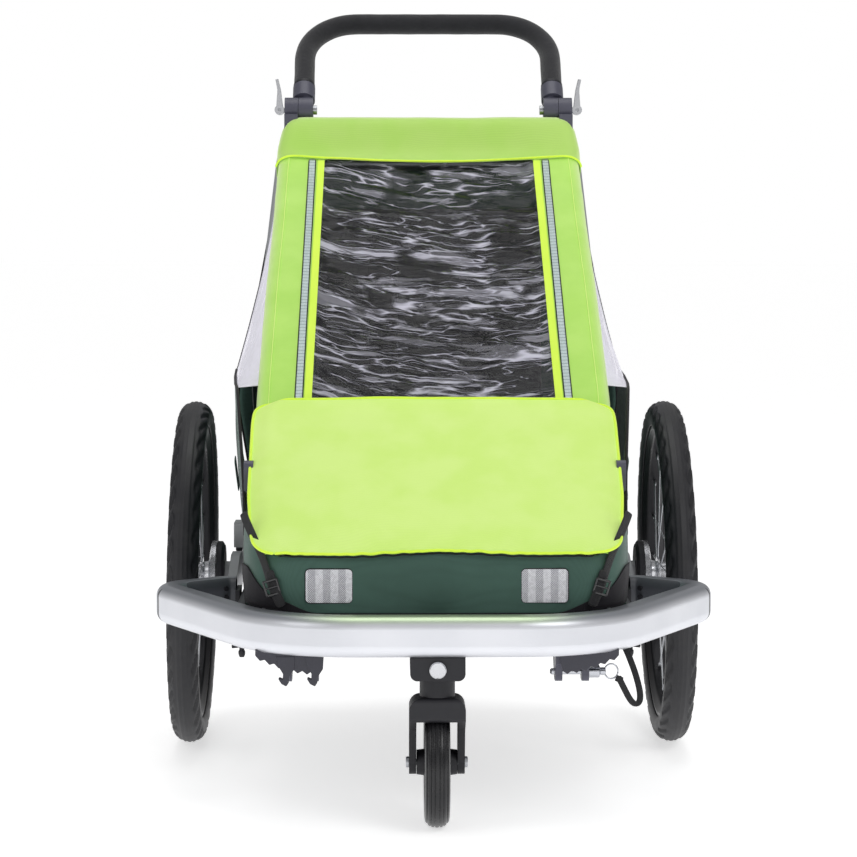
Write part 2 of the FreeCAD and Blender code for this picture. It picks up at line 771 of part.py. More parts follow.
def lock_lever(side, name):
    """Club-shaped lever that locks the folding frame."""
    y, z = LOCK_PLACE
    club = plate(f"{name}_club", "YZ", [
        ("-7", "-8", "6"),
        ("7", "-8", "6"),
        ("11", "46", "9"),
        ("-11", "46", "9"),
    ], *sided(side, "lock_inner", "lock_outer"))
    stand(club, sided(side, "lock_inner", "lock_outer")[0], y, z)
    hole = cylinder(f"{name}_club_hole", X_AXIS, "hinge_bolt + run",
                    *sided(side, "lock_inner - 5", "lock_outer + 5"), y, z)
    return cut(f"{name}_lock_lever", club, hole)


# Handle


def handle_saddles():
    """Lower knuckles, each with a neck that straddles the top bend of the rear hoop."""
    saddles = []
    for side, name in SIDES:
        ends = sided(side, "knuckle_split + 0.25", "saddle_outer")
        boss = cylinder(f"{name}_boss", X_AXIS, "knuckle_radius", *ends, "handle_y", "handle_z")
        neck = box(f"{name}_neck", ends, ("handle_y - 30", "handle_y + 14"),
                   ("saddle_foot", "handle_z - 7"))
        saddles.append(fuse(f"{name}_saddle", boss, neck))
    hoop = rear_hoop_bar("saddle_seat", "hoop_radius + gap")
    hole = cylinder("saddle_hole", X_AXIS, "hinge_bolt + run", "-saddle_outer - 5",
                    "saddle_outer + 5", "handle_y", "handle_z")
    return group("handle_saddles", *[
        cut(f"{name}_lower_knuckle", saddle, hoop, hole)
        for saddle, (side, name) in zip(saddles, SIDES)
    ])


def on_leg(along):
    """A point of the handle's middle line, so far from its hinge."""
    return (f"handle_y + {along} * cos(handle_rise)", f"handle_z + {along} * sin(handle_rise)")


def leg_bar(label, radius, low, high, x):
    """A round bar along the handle's leg."""
    bar = doc.addObject("Part::Cylinder", label)
    bind(bar, "Radius", radius)
    bind(bar, "Height", f"({high}) - ({low})")
    return stand(bar, x, *on_leg(low), (X_AXIS, "handle_rise - 90"))


def handle_knuckles():
    """Upper knuckles, which hold the handle's tube."""
    knuckles = []
    for side, name in SIDES:
        boss = cylinder(f"{name}_upper_boss", X_AXIS, "knuckle_radius",
                        *sided(side, "knuckle_inner", "knuckle_split - 0.25"),
                        "handle_y", "handle_z")
        neck = leg_bar(f"{name}_upper_neck", "hoop_radius", "5", "26",
                       f"{side} * (knuckle_inner + hoop_radius)")
        collar = leg_bar(f"{name}_collar", "collar_radius", "20", "48", f"{side} * handle_x")
        bore = leg_bar(f"{name}_collar_bore", "hoop_radius + run", "21", "49",
                       f"{side} * handle_x")
        hole = cylinder(f"{name}_upper_hole", X_AXIS, "hinge_bolt + run",
                        *sided(side, "knuckle_inner - 6", "knuckle_split + 6"),
                        "handle_y", "handle_z")
        body = fuse(f"{name}_upper", boss, neck, collar)
        knuckles.append(cut(f"{name}_upper_knuckle", body, bore, hole))
    return group("handle_knuckles", *knuckles)


def handle_bar(label, start, *radii):
    bar = bent_bar(label, [
        ("handle_x", "0"),
        ("handle_x", f"handle_length - {start}", "handle_bend"),
        ("-handle_x", f"handle_length - {start}", "handle_bend"),
        ("-handle_x", "0"),
    ], *radii)
    return stand(bar, 0, *on_leg(start), (X_AXIS, "handle_rise"))


def clamp_bolts():
    """Bolts through both knuckles, each with a cross pin that the cam lever turns on."""
    bolts = []
    for side, name in SIDES:
        y, z = "handle_y", "handle_z"
        head = cylinder(f"{name}_clamp_head", X_AXIS, "7", *sided(side, "knuckle_inner - 6", "knuckle_inner - gap"),
                        y, z)
        shank = cylinder(f"{name}_clamp_shank", X_AXIS, "hinge_bolt",
                         *sided(side, "knuckle_inner - 6", "saddle_outer + 0.3"), y, z)
        neck = cylinder(f"{name}_clamp_neck", X_AXIS, "cross_pin",
                        *sided(side, "saddle_outer - 1", "cam_x"), y, z)
        pin = cylinder(f"{name}_clamp_pin", Y_AXIS, "cross_pin", "handle_y - 7", "handle_y + 7",
                       f"{side} * cam_x", z)
        bolts.append(fuse(f"{name}_clamp_bolt", head, shank, neck, pin))
    return group("clamp_bolts", *bolts)


def clamp_lever(side, name):
    """Quick-release lever: a slotted cam with a thumb paddle."""
    cam = cylinder(f"{name}_cam", Y_AXIS, "cam_radius", "handle_y - 9", "handle_y + 9",
                   f"{side} * cam_x", "handle_z")
    paddle = plate(f"{name}_paddle", "XZ", [
        (f"{side} * (cam_x - 5)", "handle_z + 4"),
        (f"{side} * (cam_x + 5)", "handle_z + 4"),
        (f"{side} * (cam_x + 3)", "handle_z + 30", "30"),
        (f"{side} * (cam_x + 6)", "handle_z + 46"),
        (f"{side} * (cam_x + 2)", "handle_z + 47"),
        (f"{side} * (cam_x - 2)", "handle_z + 30", "30"),
    ], "handle_y - 9", "handle_y + 9")
    slot = box(f"{name}_cam_slot", sided(side, "cam_x - 8", "cam_x + 3"),
               ("handle_y - 2.8", "handle_y + 2.8"), ("handle_z - 8", "handle_z + 3"))
    hole = cylinder(f"{name}_cam_hole", Y_AXIS, "cross_pin + run", "handle_y - 9", "handle_y + 9",
                    f"{side} * cam_x", "handle_z")
    return cut(f"{name}_clamp_lever", fuse(f"{name}_cam_lever", cam, paddle), slot, hole)


# Suspension and brake


def wheel_place(thing, side):
    """Stands a piece, made about its own X axis, on the leaning wheel axis."""
    return stand(thing, f"{side} * track_half", "axle_y", "axle_z", (Y_AXIS, f"{-side} * camber"))


def wheel_bar(label, side, radius, near, far):
    """A round bar on the wheel axis, from near to far, outward positive from the wheel's middle."""
    bar = turned(label, [
        (f"{side} * ({near})", "0"),
        (f"{side} * ({near})", radius),
        (f"{side} * ({far})", radius),
        (f"{side} * ({far})", "0"),
    ])
    return wheel_place(bar, side)


def suspension_towers():
    towers = []
    for side, name in SIDES:
        face = "arm_inner - gap"
        foot = box(f"{name}_tower_foot", sided(side, "rail_x + tube_radius + gap", face),
                   ("tower_front", "tower_rear"), ("tray_bottom", "tab_top"))
        wall = box(f"{name}_tower_wall", sided(side, f"{face} - 4", face),
                   ("tower_front", "tower_rear"), ("tray_bottom", "lip_bottom + 12"))
        lip = box(f"{name}_tower_lip", sided(side, f"{face} - 4", "arm_outer"),
                  ("tower_front + 10", "tower_rear - 10"), ("lip_bottom", "lip_bottom + 12"))
        towers.append(fuse(f"{name}_tower", foot, wall, lip))
    return group("suspension_towers", *towers)


def suspension_pads():
    """Elastomer blocks between each arm's tab and its tower."""
    return group("suspension_pads", *[
        box(f"{name}_pad", sided(side, "arm_inner + 0.5", "arm_outer - 0.5"),
            ("tower_front + 20", "tower_rear - 20"), ("tab_top + gap", "lip_bottom - gap"))
        for side, name in SIDES
    ])


def suspension_arm(side, name):
    sheet_metal = plate(f"{name}_arm_plate", "YZ", [
        ("pivot_y - 19", "pivot_z - 18", "16"),
        ("pivot_y + 40", "pivot_z - 22", "30"),
        ("axle_y + 20", "axle_z - 32", "30"),
        ("268", "tab_top - 22", "6"),
        ("268", "tab_top"),
        ("222", "tab_top", "8"),
        ("axle_y + 26", "axle_z + 27", "20"),
        ("axle_y - 26", "axle_z + 27", "20"),
        ("pivot_y + 20", "pivot_z + 20", "30"),
        ("pivot_y - 19", "pivot_z + 18", "16"),
    ], *sided(side, "arm_inner", "arm_outer"))
    sleeve = wheel_bar(f"{name}_sleeve", side, "15.5", "arm_inner - track_half + 1", "-46")
    bore = wheel_bar(f"{name}_sleeve_bore", side, "axle_radius + run", "-75", "-40")
    hole = cylinder(f"{name}_arm_hole", X_AXIS, "pivot_bolt + run",
                    *sided(side, "arm_inner - 5", "arm_outer + 5"), "pivot_y", "pivot_z")
    return cut(f"{name}_suspension_arm", fuse(f"{name}_arm", sheet_metal, sleeve), bore, hole)


def arm_pivot_bolts():
    bolts = []
    for side, name in SIDES:
        shank = cylinder(f"{name}_pivot_shank", X_AXIS, "pivot_bolt",
                         *sided(side, "235", "arm_outer + 5"), "pivot_y", "pivot_z")
        head = cylinder(f"{name}_pivot_head", X_AXIS, "9",
                        *sided(side, "arm_outer + gap", "arm_outer + 6"), "pivot_y", "pivot_z")
        bolts.append(fuse(f"{name}_pivot_bolt", shank, head))
    return group("arm_pivot_bolts", *bolts)


def brake_housing(side, name):
    disc = turned(f"{name}_housing_disc", [
        (f"{side} * -45.9", "axle_radius + run"),
        (f"{side} * -45.9", "ring_outer - 6"),
        (f"{side} * -42", "ring_outer"),
        (f"{side} * -34.6", "ring_outer"),
        (f"{side} * -34.6", "axle_radius + run"),
    ])
    bore = cylinder(f"{name}_housing_bore", X_AXIS, "pin_radius + run",
                    *sided(side, "-50", "-30"), "0", "slot_radius")
    return wheel_place(cut(f"{name}_brake_housing", disc, bore), side)


def brake_pin(side, name):
    """Parking brake pin, which slides outward into a slot of the brake ring."""
    pin = cylinder(f"{name}_pin_bar", X_AXIS, "pin_radius", "-5.2", "5.2", "0", "slot_radius")
    stand(pin, f"{side} * -40 - 5.2", "0", "slot_radius")
    return wheel_place(group(f"{name}_brake_pin", pin), side)


def wheel_axle(side, name):
    """Hollow wheel axle with a cap; its bore holds the push button."""
    axle = turned(f"{name}_wheel_axle", [
        (f"{side} * -66", "0"),
        (f"{side} * -66", "axle_radius"),
        (f"{side} * 25.1", "axle_radius"),
        (f"{side} * 25.1", "11"),
        (f"{side} * 28", "10"),
        (f"{side} * 28", "button_radius + run"),
        (f"{side} * 11.5", "button_radius + run"),
        (f"{side} * 11.5", "0"),
    ])
    return wheel_place(axle, side)


def axle_button(side, name):
    return wheel_bar(f"{name}_axle_button", side, "button_radius", "15", "31")


# Wheels


def wheel_hub(side, name):
    """Hub shell with its two spoke flanges and the slotted brake ring on its inner end."""
    shell = turned(f"{name}_hub_shell", [
        (f"{side} * -33.6", "axle_radius + run"),
        (f"{side} * -33.6", "ring_outer"),
        (f"{side} * -27", "ring_outer"),
        (f"{side} * -24", "ring_outer - 14", "3"),
        (f"{side} * -22", "16"),
        (f"{side} * -14", "14"),
        (f"{side} * -13.5", "flange_radius"),
        (f"{side} * -10.5", "flange_radius"),
        (f"{side} * -9", "13"),
        (f"{side} * 9", "13"),
        (f"{side} * 10.5", "flange_radius"),
        (f"{side} * 13.5", "flange_radius"),
        (f"{side} * 15", "12"),
        (f"{side} * 25", "11"),
        (f"{side} * 25", "axle_radius + run"),
    ])
    slots = []
    count = round(value("slot_count"))
    for n in range(count):
        slot = doc.addObject("Part::Box", f"{name}_slot")
        bind(slot, "Length", "8")
        bind(slot, "Width", "slot_width")
        bind(slot, "Height", "10")
        turn = FreeCAD.Rotation(X_AXIS, n * 360 / count)
        low = "-35.6" if side > 0 else "27.6"
        corner = V(value(low), -value("slot_width") / 2, value("slot_radius") - 5)
        slot.Placement = FreeCAD.Placement(turn.multVec(corner), turn)
        slots.append(slot)
    return wheel_place(cut(f"{name}_wheel_hub", shell, *slots), side)


def wheel_rim(side, name):
    rim = turned(f"{name}_wheel_rim", [
        ("-rim_half", "bead_radius - gap"),
        ("-rim_half + rim_wall", "bead_radius - gap"),
        ("-rim_half + rim_wall", "rim_inner + 6"),
        ("rim_half - rim_wall", "rim_inner + 6"),
        ("rim_half - rim_wall", "bead_radius - gap"),
        ("rim_half", "bead_radius - gap"),
        ("rim_half", "rim_inner + 8"),
        ("rim_half - 7", "rim_inner", "4"),
        ("-rim_half + 7", "rim_inner", "4"),
        ("-rim_half", "rim_inner + 8"),
    ])
    return wheel_place(rim, side)


def wheel_spokes(side, name):
    """Crossed spokes, from alternate hub flanges to the middle of the rim."""
    spokes = []
    count = round(value("spoke_count"))
    hub_end = value("flange_radius + 0.6")
    rim_end = value("rim_inner - 0.6")
    for n in range(count):
        angle = 2 * math.pi * n / count
        lean = math.radians(38 if n % 4 < 2 else -38)
        offset = value("spoke_reach") * (1 if n % 2 else -1)
        foot = V(offset, hub_end * math.cos(angle + lean), hub_end * math.sin(angle + lean))
        tip = V(0, rim_end * math.cos(angle), rim_end * math.sin(angle))
        spoke = doc.addObject("Part::Cylinder", f"{name}_spoke")
        bind(spoke, "Radius", "spoke_radius")
        spoke.Height = (tip - foot).Length
        spoke.Placement = FreeCAD.Placement(foot, FreeCAD.Rotation(Z_AXIS, tip - foot))
        spokes.append(spoke)
    return wheel_place(group(f"{name}_wheel_spokes", *spokes), side)


def torus(label, radius):
    """A full ring of round section about the X axis."""
    ring = doc.addObject("Part::Torus", label)
    bind(ring, "Radius1", "ring_radius")
    bind(ring, "Radius2", radius)
    ring.Placement.Rotation = FreeCAD.Rotation(Z_AXIS, X_AXIS)
    return ring


def wheel_tyre(side, name):
    outside = torus(f"{name}_tyre_outside", "tyre_section")
    inside = torus(f"{name}_tyre_inside", "tyre_section - tyre_wall")
    well = cylinder(f"{name}_tyre_well", X_AXIS, "bead_radius", "-30", "30", "0", "0")
    return wheel_place(cut(f"{name}_wheel_tyre", outside, inside, well), side)


def brake_pedal():
    """Foot pedal of the parking brake, which turns on the rear cross tube."""
    sleeve = cylinder("pedal_sleeve", X_AXIS, "tube_radius + 5", "-45", "45", "cross_y", "rail_z")
    paddle = plate("pedal_paddle", "YZ", [
        ("cross_y + 10", "rail_z - 4"),
        ("cross_y + 10", "rail_z + 7"),
        ("cross_y + 45", "rail_z + 9", "30"),
        ("cross_y + 70", "rail_z + 16"),
        ("cross_y + 73", "rail_z + 9"),
        ("cross_y + 45", "rail_z - 1", "30"),
    ], "-45", "45")
    bore = cylinder("pedal_bore", X_AXIS, "tube_radius + run", "-45", "45", "cross_y", "rail_z")
    return cut("brake_pedal", fuse("pedal", sleeve, paddle), bore)


# Seat


def seat_cushion():
    return plate("seat_cushion", "YZ", [
        ("-33", "300", "12"),
        ("226", "300", "12"),
        ("226", "seat_top", "12"),
        ("-33", "seat_top", "18"),
    ], "-cushion_half", "cushion_half")


def along_back(up, out):
    """A point by the backrest's front face, so far up it and so far in front of it."""
    return (f"back_y + {up} * sin(back_lean) - ({out}) * cos(back_lean)",
            f"back_z + {up} * cos(back_lean) + ({out}) * sin(back_lean)")


def back_cushion():
    return plate("back_cushion", "YZ", [
        (*along_back("0", "0"), "10"),
        (*along_back("back_height", "0"), "14"),
        (*along_back("back_height", "-back_depth"), "14"),
        (*along_back("0", "-back_depth"), "10"),
    ], "-cushion_half", "cushion_half")


def harness_straps():
    """Two shoulder straps that lie on the backrest."""
    corners = [
        along_back("60", "0.3"),
        along_back("400", "0.3"),
        along_back("400", "3"),
        along_back("60", "3"),
    ]
    return group("harness_straps", *[
        plate(f"{name}_strap", "YZ", corners, *sided(side, "50", "88")) for side, name in SIDES
    ])


def harness_buckle():
    body = plate("buckle_body", "XZ", [
        ("-24", "352", "8"),
        ("24", "352", "8"),
        ("24", "402", "8"),
        ("-24", "402", "8"),
    ], "186", "204")
    pocket = box("buckle_pocket", ("-11.2", "11.2"), ("186", "195"), ("367.8", "388.2"))
    return cut("harness_buckle", body, pocket)


def buckle_button():
    return box("buckle_button", ("-11", "11"), ("183", "190"), ("368", "388"))


# Fabric body and rain cover


def side_panels():
    """Lower side walls of the fabric body; they lean outward."""
    panels = []
    for side, name in SIDES:
        panel = plate(f"{name}_panel", "YZ", [
            ("-330", "0"),
            ("440", "0"),
            ("405", "shoulder_z - panel_foot", "20"),
            ("-120", "shoulder_z - panel_foot", "40"),
            ("-365", "90", "20"),
            ("-365", "24"),
        ], "0", "fabric")
        outward = FreeCAD.Rotation(Y_AXIS, value("panel_lean") * side)
        inward = FreeCAD.Rotation(Z_AXIS, -value("panel_toe") * side)
        panel.Placement.Rotation = inward * outward
        start = sided(side, "panel_x", "panel_x + fabric")[0]
        panels.append(stand(panel, start, 0, "panel_foot"))
    return group("side_panels", *panels)


def side_windows():
    """Clear side windows above the side walls; they lean inward."""
    windows = []
    for side, name in SIDES:
        window = plate(f"{name}_window", "YZ", [
            ("-70", "0"),
            ("398", "0"),
            ("372", "312"),
            ("336", "312", "20"),
        ], "0", "1")
        window.Placement.Rotation = FreeCAD.Rotation(Y_AXIS, -value("window_lean") * side)
        start = sided(side, "window_foot_x", "window_foot_x + 1")[0]
        windows.append(stand(window, start, 0, "shoulder_z + 4"))
    return group("side_windows", *windows)


def front_panel():
    return plate("front_panel", "XZ", [
        ("-front_half", "panel_foot"),
        ("front_half", "panel_foot"),
        ("front_half", "hem_z - 1", "16"),
        ("-front_half", "hem_z - 1", "16"),
    ], "-441", "-438.5")


def front_reflectors():
    lenses = []
    for side, name in SIDES:
        lenses.append(plate(f"{name}_reflector", "XZ", [
            (f"{side} * 106", "285", "5"),
            (f"{side} * 164", "285", "5"),
            (f"{side} * 164", "327", "5"),
            (f"{side} * 106", "327", "5"),
        ], "-447", "-441.1"))
    return group("front_reflectors", *lenses)


def rear_panel():
    """Closed back of the fabric body, behind the luggage space."""
    return plate("rear_panel", "YZ", [
        ("470", "panel_foot + 2"),
        ("470 + fabric", "panel_foot + 2"),
        ("398 + fabric", "895"),
        ("398", "895"),
    ], "-205", "205")


def on_cover(y, deep):
    """A point on the cover's slope at a place along Y, so deep below its outer face."""
    return (y, f"hem_z + ({y} - hem_y) * (slope_z - hem_z) / (slope_y - hem_y) - ({deep}) * 1.2")


def rain_cover():
    """Front flap, slope, side wraps and roof of the rain cover, with its window opening."""
    slope = plate("cover_slope", "YZ", [
        on_cover("hem_y", "0"),
        on_cover("slope_y", "0"),
        ("roof_y", "roof_z"),
        ("roof_y + cover_skin", "roof_z"),
        ("slope_y + cover_skin", "slope_z - cover_skin"),
        on_cover("hem_y + cover_skin", "cover_skin"),
    ], "-cover_half", "cover_half")
    roof = box("cover_roof", ("-168", "168"), ("roof_y", "roof_y + 42"),
               ("roof_z - cover_skin", "roof_z"))
    wraps = [
        plate(f"{name}_wrap", "YZ", [
            on_cover("-141", "1"),
            on_cover("slope_y", "1"),
            ("roof_y + 1", "roof_z - 1"),
            ("roof_y + 1", "roof_z - 70"),
            ("slope_y", "slope_z - 70"),
            on_cover("-120", "50"),
        ], *sided(side, "cover_half - cover_skin", "cover_half"))
        for side, name in SIDES
    ]
    opening = box("cover_opening", ("-window_half", "window_half"),
                  ("window_front", "window_rear"), ("500", "870"))
    return cut("rain_cover", fuse("cover", slope, roof, *wraps), opening)


def cover_window():
    """Clear film that fills the rain cover's opening."""
    return plate("cover_window", "YZ", [
        on_cover("window_front + gap", "0.4"),
        on_cover("window_rear - gap", "0.4"),
        on_cover("window_rear - gap", "1.4"),
        on_cover("window_front + gap", "1.4"),
    ], "-window_half + gap", "window_half - gap")


parts = [
    floor_frame(),
    floor_tray(),
    front_bumper(),
    bumper_mounts(),
    bumper_rivets(),
    hoop_brackets(),
    hoop_bolts(),
    hitch_receivers(),
    hitch_pin(),
    caster_dock(),
    caster_release_button(),
    caster_fork(),
    caster_axle(),
    caster_rim(),
    caster_tyre(),
    rear_hoop(),
    front_hoop(),
    handle_saddles(),
    handle_knuckles(),
    handle_bar("handle_tube", "21", "hoop_radius", "hoop_radius - tube_wall"),
    handle_bar("handle_grip", "49", "foam_radius", "hoop_radius + gap"),
    clamp_bolts(),
    suspension_towers(),
    suspension_pads(),
    arm_pivot_bolts(),
    brake_pedal(),
    seat_cushion(),
    back_cushion(),
    harness_straps(),
    harness_buckle(),
    buckle_button(),
    side_panels(),
    side_windows(),
    front_panel(),
    front_reflectors(),
    rear_panel(),
    rain_cover(),
    cover_window(),
]
PAIRED = (
    lock_lever,
    clamp_lever,
    suspension_arm,
    brake_housing,
    brake_pin,
    wheel_axle,
    axle_button,
    wheel_hub,
    wheel_rim,
    wheel_spokes,
    wheel_tyre,
)
for side, name in SIDES:
    parts += [make(side, name) for make in PAIRED]
doc.recompute()

faults = [f"{o.Label}: {o.State}" for o in doc.Objects if {"Invalid", "Error"} & set(o.State)]
faults += [p.Label for p in parts if p.Shape.isNull() or not p.Shape.isValid()]
faults += [p.Label for p in parts if not p.Shape.Solids]
if faults:
    raise SystemExit("not written: " + ", ".join(faults))
for part in parts:
    part.Shape.exportStep(f"parts/{part.Label}.step")
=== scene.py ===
"""Looks of the child bicycle trailer: fabric, film, webbing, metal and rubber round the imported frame.

Metres. +Z is up, the trailer drives towards -Y and its own left side is +X.
"""

import json
import math

import bmesh
import bpy
import numpy as np
from mathutils import Matrix, Vector, noise


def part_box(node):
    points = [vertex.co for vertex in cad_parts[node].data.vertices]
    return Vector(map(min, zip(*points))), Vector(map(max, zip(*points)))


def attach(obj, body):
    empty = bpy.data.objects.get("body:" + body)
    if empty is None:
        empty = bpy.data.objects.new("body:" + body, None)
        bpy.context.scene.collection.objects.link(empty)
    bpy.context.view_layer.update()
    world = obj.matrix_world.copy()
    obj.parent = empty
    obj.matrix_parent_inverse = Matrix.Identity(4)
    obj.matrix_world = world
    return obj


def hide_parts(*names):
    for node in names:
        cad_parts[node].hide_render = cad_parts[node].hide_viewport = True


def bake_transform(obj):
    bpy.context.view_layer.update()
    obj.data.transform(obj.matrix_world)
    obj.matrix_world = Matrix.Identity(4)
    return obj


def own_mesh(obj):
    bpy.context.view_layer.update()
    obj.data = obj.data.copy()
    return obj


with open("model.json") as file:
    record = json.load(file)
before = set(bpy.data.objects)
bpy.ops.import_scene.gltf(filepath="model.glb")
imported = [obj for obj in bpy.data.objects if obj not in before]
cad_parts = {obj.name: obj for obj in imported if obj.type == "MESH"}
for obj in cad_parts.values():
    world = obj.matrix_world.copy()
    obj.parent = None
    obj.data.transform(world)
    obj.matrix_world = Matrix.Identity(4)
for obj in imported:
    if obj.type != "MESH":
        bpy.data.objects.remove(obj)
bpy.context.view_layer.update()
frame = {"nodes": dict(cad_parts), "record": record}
nodes = frame["nodes"]
SIDES = ((1, "left"), (-1, "right"))
MM = 0.001
X_AXIS, Y_AXIS, Z_AXIS = Vector((1, 0, 0)), Vector((0, 1, 0)), Vector((0, 0, 1))


# Materials


def srgb(*display):
    """Linear colour of a display colour, given 0 to 255."""
    shares = [c / 255 for c in display]
    return tuple(c / 12.92 if c <= 0.04045 else ((c + 0.055) / 1.055) ** 2.4 for c in shares) + (1,)


def tinted(colour, factor):
    return tuple(min(1, c * factor) for c in colour[:3]) + (1,)


class Nodes:
    """Short hand for a material's node tree."""

    def __init__(self, name):
        self.material = bpy.data.materials.new(name)
        self.material.use_nodes = True
        self.tree = self.material.node_tree
        self.shader = self.tree.nodes["Principled BSDF"]
        self.place = self.add("TexCoord").outputs["Object"]

    def add(self, kind, *inputs, **values):
        """A node: inputs in their order, then inputs or settings by name."""
        node = self.tree.nodes.new("ShaderNode" + kind)
        for key, value in values.items():
            if key in node.inputs:
                self.put(node.inputs[key], value)
            else:
                setattr(node, key, value)
        for socket, value in zip(node.inputs, inputs):
            self.put(socket, value)
        return node

    def put(self, socket, value):
        if isinstance(value, bpy.types.NodeSocket):
            self.tree.links.new(value, socket)
        else:
            socket.default_value = value

    def set(self, **values):
        """Sets the shader's inputs and hands back the material."""
        for key, value in values.items():
            self.put(self.shader.inputs[key.replace("_", " ")], value)
        return self.material

    def math(self, operation, *values):
        return self.add("Math", *values, operation=operation).outputs[0]

    def times(self, first, second):
        return self.math("MULTIPLY", first, second)

    def plus(self, first, *others):
        for other in others:
            first = self.math("ADD", first, other)
        return first

    def scaled(self, value, factor, offset):
        return self.math("MULTIPLY_ADD", value, factor, offset)

    def noise(self, size, detail=3.0, place=None, rough=0.5, output="Fac"):
        """Noise of a size in millimetres."""
        node = self.add("TexNoise", place or self.place, Scale=1000 / size, Detail=detail,
                        Roughness=rough)
        return node.outputs[output]

    def cells(self, size):
        return self.add("TexVoronoi", self.place, Scale=1000 / size).outputs["Distance"]

    def mapped(self, place, scale=(1, 1, 1), shift=0.0):
        return self.add("Mapping", place, Scale=scale, Location=(shift, shift, shift)).outputs[0]

    def span(self, value, low, high, first=0.0, last=1.0):
        """value from low..high to first..last, eased and clamped."""
        node = self.add("MapRange", value, low, high, first, last, interpolation_type="SMOOTHSTEP")
        return node.outputs[0]

    def mix(self, share, first, second):
        node = self.add("Mix", share, data_type="RGBA")
        self.put(node.inputs[6], first)
        self.put(node.inputs[7], second)
        return node.outputs[2]

    def axes(self, place=None):
        return self.add("SeparateXYZ", place or self.place).outputs

    def bump(self, height, depth, strength=1.0, below=None, soft=0.0):
        """Relief of the given depth; soft rounds hard edges first."""
        node = self.add("Bump", Strength=strength, Distance=depth, Height=height)
        if soft:
            below = self.add("Bevel", Radius=soft, samples=4).outputs[0]
        if below:
            self.put(node.inputs["Normal"], below)
        return node.outputs[0]

    def wave(self, value, pitch):
        return self.math("SINE", self.times(value, math.tau / pitch))


def metal(name, colour, rough, soft=0.0, relief=0.02 * MM, worn=0.12, metallic=1.0, streak=None):
    n = Nodes(name)
    fine = n.noise(1.5, 3, n.mapped(n.place, streak)) if streak else n.noise(0.4, 2)
    shades = tinted(colour, 1 - worn / 2), tinted(colour, 1 + worn / 2)
    return n.set(Base_Color=n.mix(n.noise(60, 4), *shades), Metallic=metallic,
                 Roughness=n.scaled(n.noise(14, 4), worn, rough - worn / 2),
                 Normal=n.bump(fine, relief, soft=soft))


def plastic(name, colour, rough=0.45, relief=0.06 * MM, sheen=0.5):
    n = Nodes(name)
    return n.set(Base_Color=n.mix(n.noise(40, 4), tinted(colour, 0.86), tinted(colour, 1.16)),
                 Roughness=n.scaled(n.noise(9, 4), 0.14, rough - 0.07),
                 Specular_IOR_Level=sheen, Normal=n.bump(n.cells(0.7), relief, soft=0.8 * MM))


def rubber(name, colour, rough=0.6, dust=0.25):
    n = Nodes(name)
    dusty = n.span(n.noise(25, 6, rough=0.65), 0.42, 0.75, 0, dust)
    return n.set(Base_Color=n.mix(dusty, colour, tinted(srgb(92, 90, 90), 0.6)),
                 Roughness=n.scaled(dusty, 0.5, rough - 0.06), Specular_IOR_Level=0.45,
                 Normal=n.bump(n.noise(0.9, 3), 0.08 * MM, soft=0.8 * MM))


def fabric(name, colour, second=None, pitch=0.9 * MM, relief=0.12 * MM, rough=0.62, sheen=0.25,
           painted_glow=0.0, spec=0.35, rim=None):
    """Coated woven cloth: thread relief over soft creases, with slow shifts of colour. Its glow is a
    painted glow, emission of the cloth's own colour; rim is a paler colour painted at grazing angles, a
    painted rim highlight.
    """
    n = Nodes(name)
    second = second or tinted(colour, 0.8)
    slow = n.span(n.noise(70, 3), 0.35, 0.68)
    threads = n.scaled(n.plus(*(n.wave(axis, pitch) for axis in n.axes())), 0.16, 0.5)
    shade = n.mix(n.times(slow, 0.5), colour, second)
    shade = n.mix(n.span(threads, 0.2, 0.5, 0.22, 0), shade, tinted(second, 0.55))
    # Painted rim highlight: a paler colour where the cloth turns away from view.
    if rim:
        turned = n.add("LayerWeight", Blend=0.5).outputs["Facing"]
        shade = n.mix(n.span(turned, 0.35, 0.95, 0, 0.75), shade, rim)
    wrinkles = n.bump(n.noise(26, 5, rough=0.55), 0.5 * MM)
    # Painted glow: the cloth emits its own colour, though it is no lamp.
    if painted_glow:
        n.set(Emission_Color=shade, Emission_Strength=painted_glow)
    return n.set(Base_Color=shade, Roughness=n.scaled(n.noise(12, 3), 0.12, rough - 0.06),
                 Specular_IOR_Level=spec, Sheen_Weight=sheen, Sheen_Roughness=0.5,
                 Normal=n.bump(threads, relief, below=wrinkles))


def webbing(name, colour):
    """Ribbed strap: fine diagonal ribs."""
    n = Nodes(name)
    ribs = n.wave(n.plus(*n.axes()), MM)
    return n.set(Base_Color=n.mix(n.span(ribs, -0.6, 0.8), tinted(colour, 0.5), tinted(colour, 1.5)),
                 Roughness=n.scaled(n.noise(8, 3), 0.2, 0.55), Sheen_Weight=0.15,
                 Normal=n.bump(ribs, 0.12 * MM))


def slope_axes(n):
    """Place on the slope of the rain cover: across, up along it, and through it."""
    return n.axes(n.add("Mapping", n.place, vector_type="TEXTURE",
                        Rotation=(SLOPE_ANGLE, 0, 0)).outputs[0])


def ridges(n, place, sharp):
    """Thin bright lines, used as painted glints, where a noise field crosses its middle value."""
    away = n.math("ABSOLUTE", n.math("SUBTRACT", n.noise(1000, 2, place, 0.55), 0.5))
    near = n.math("SUBTRACT", 1.0, n.math("MINIMUM", n.times(away, sharp), 1.0))
    return n.math("POWER", near, 2.2)


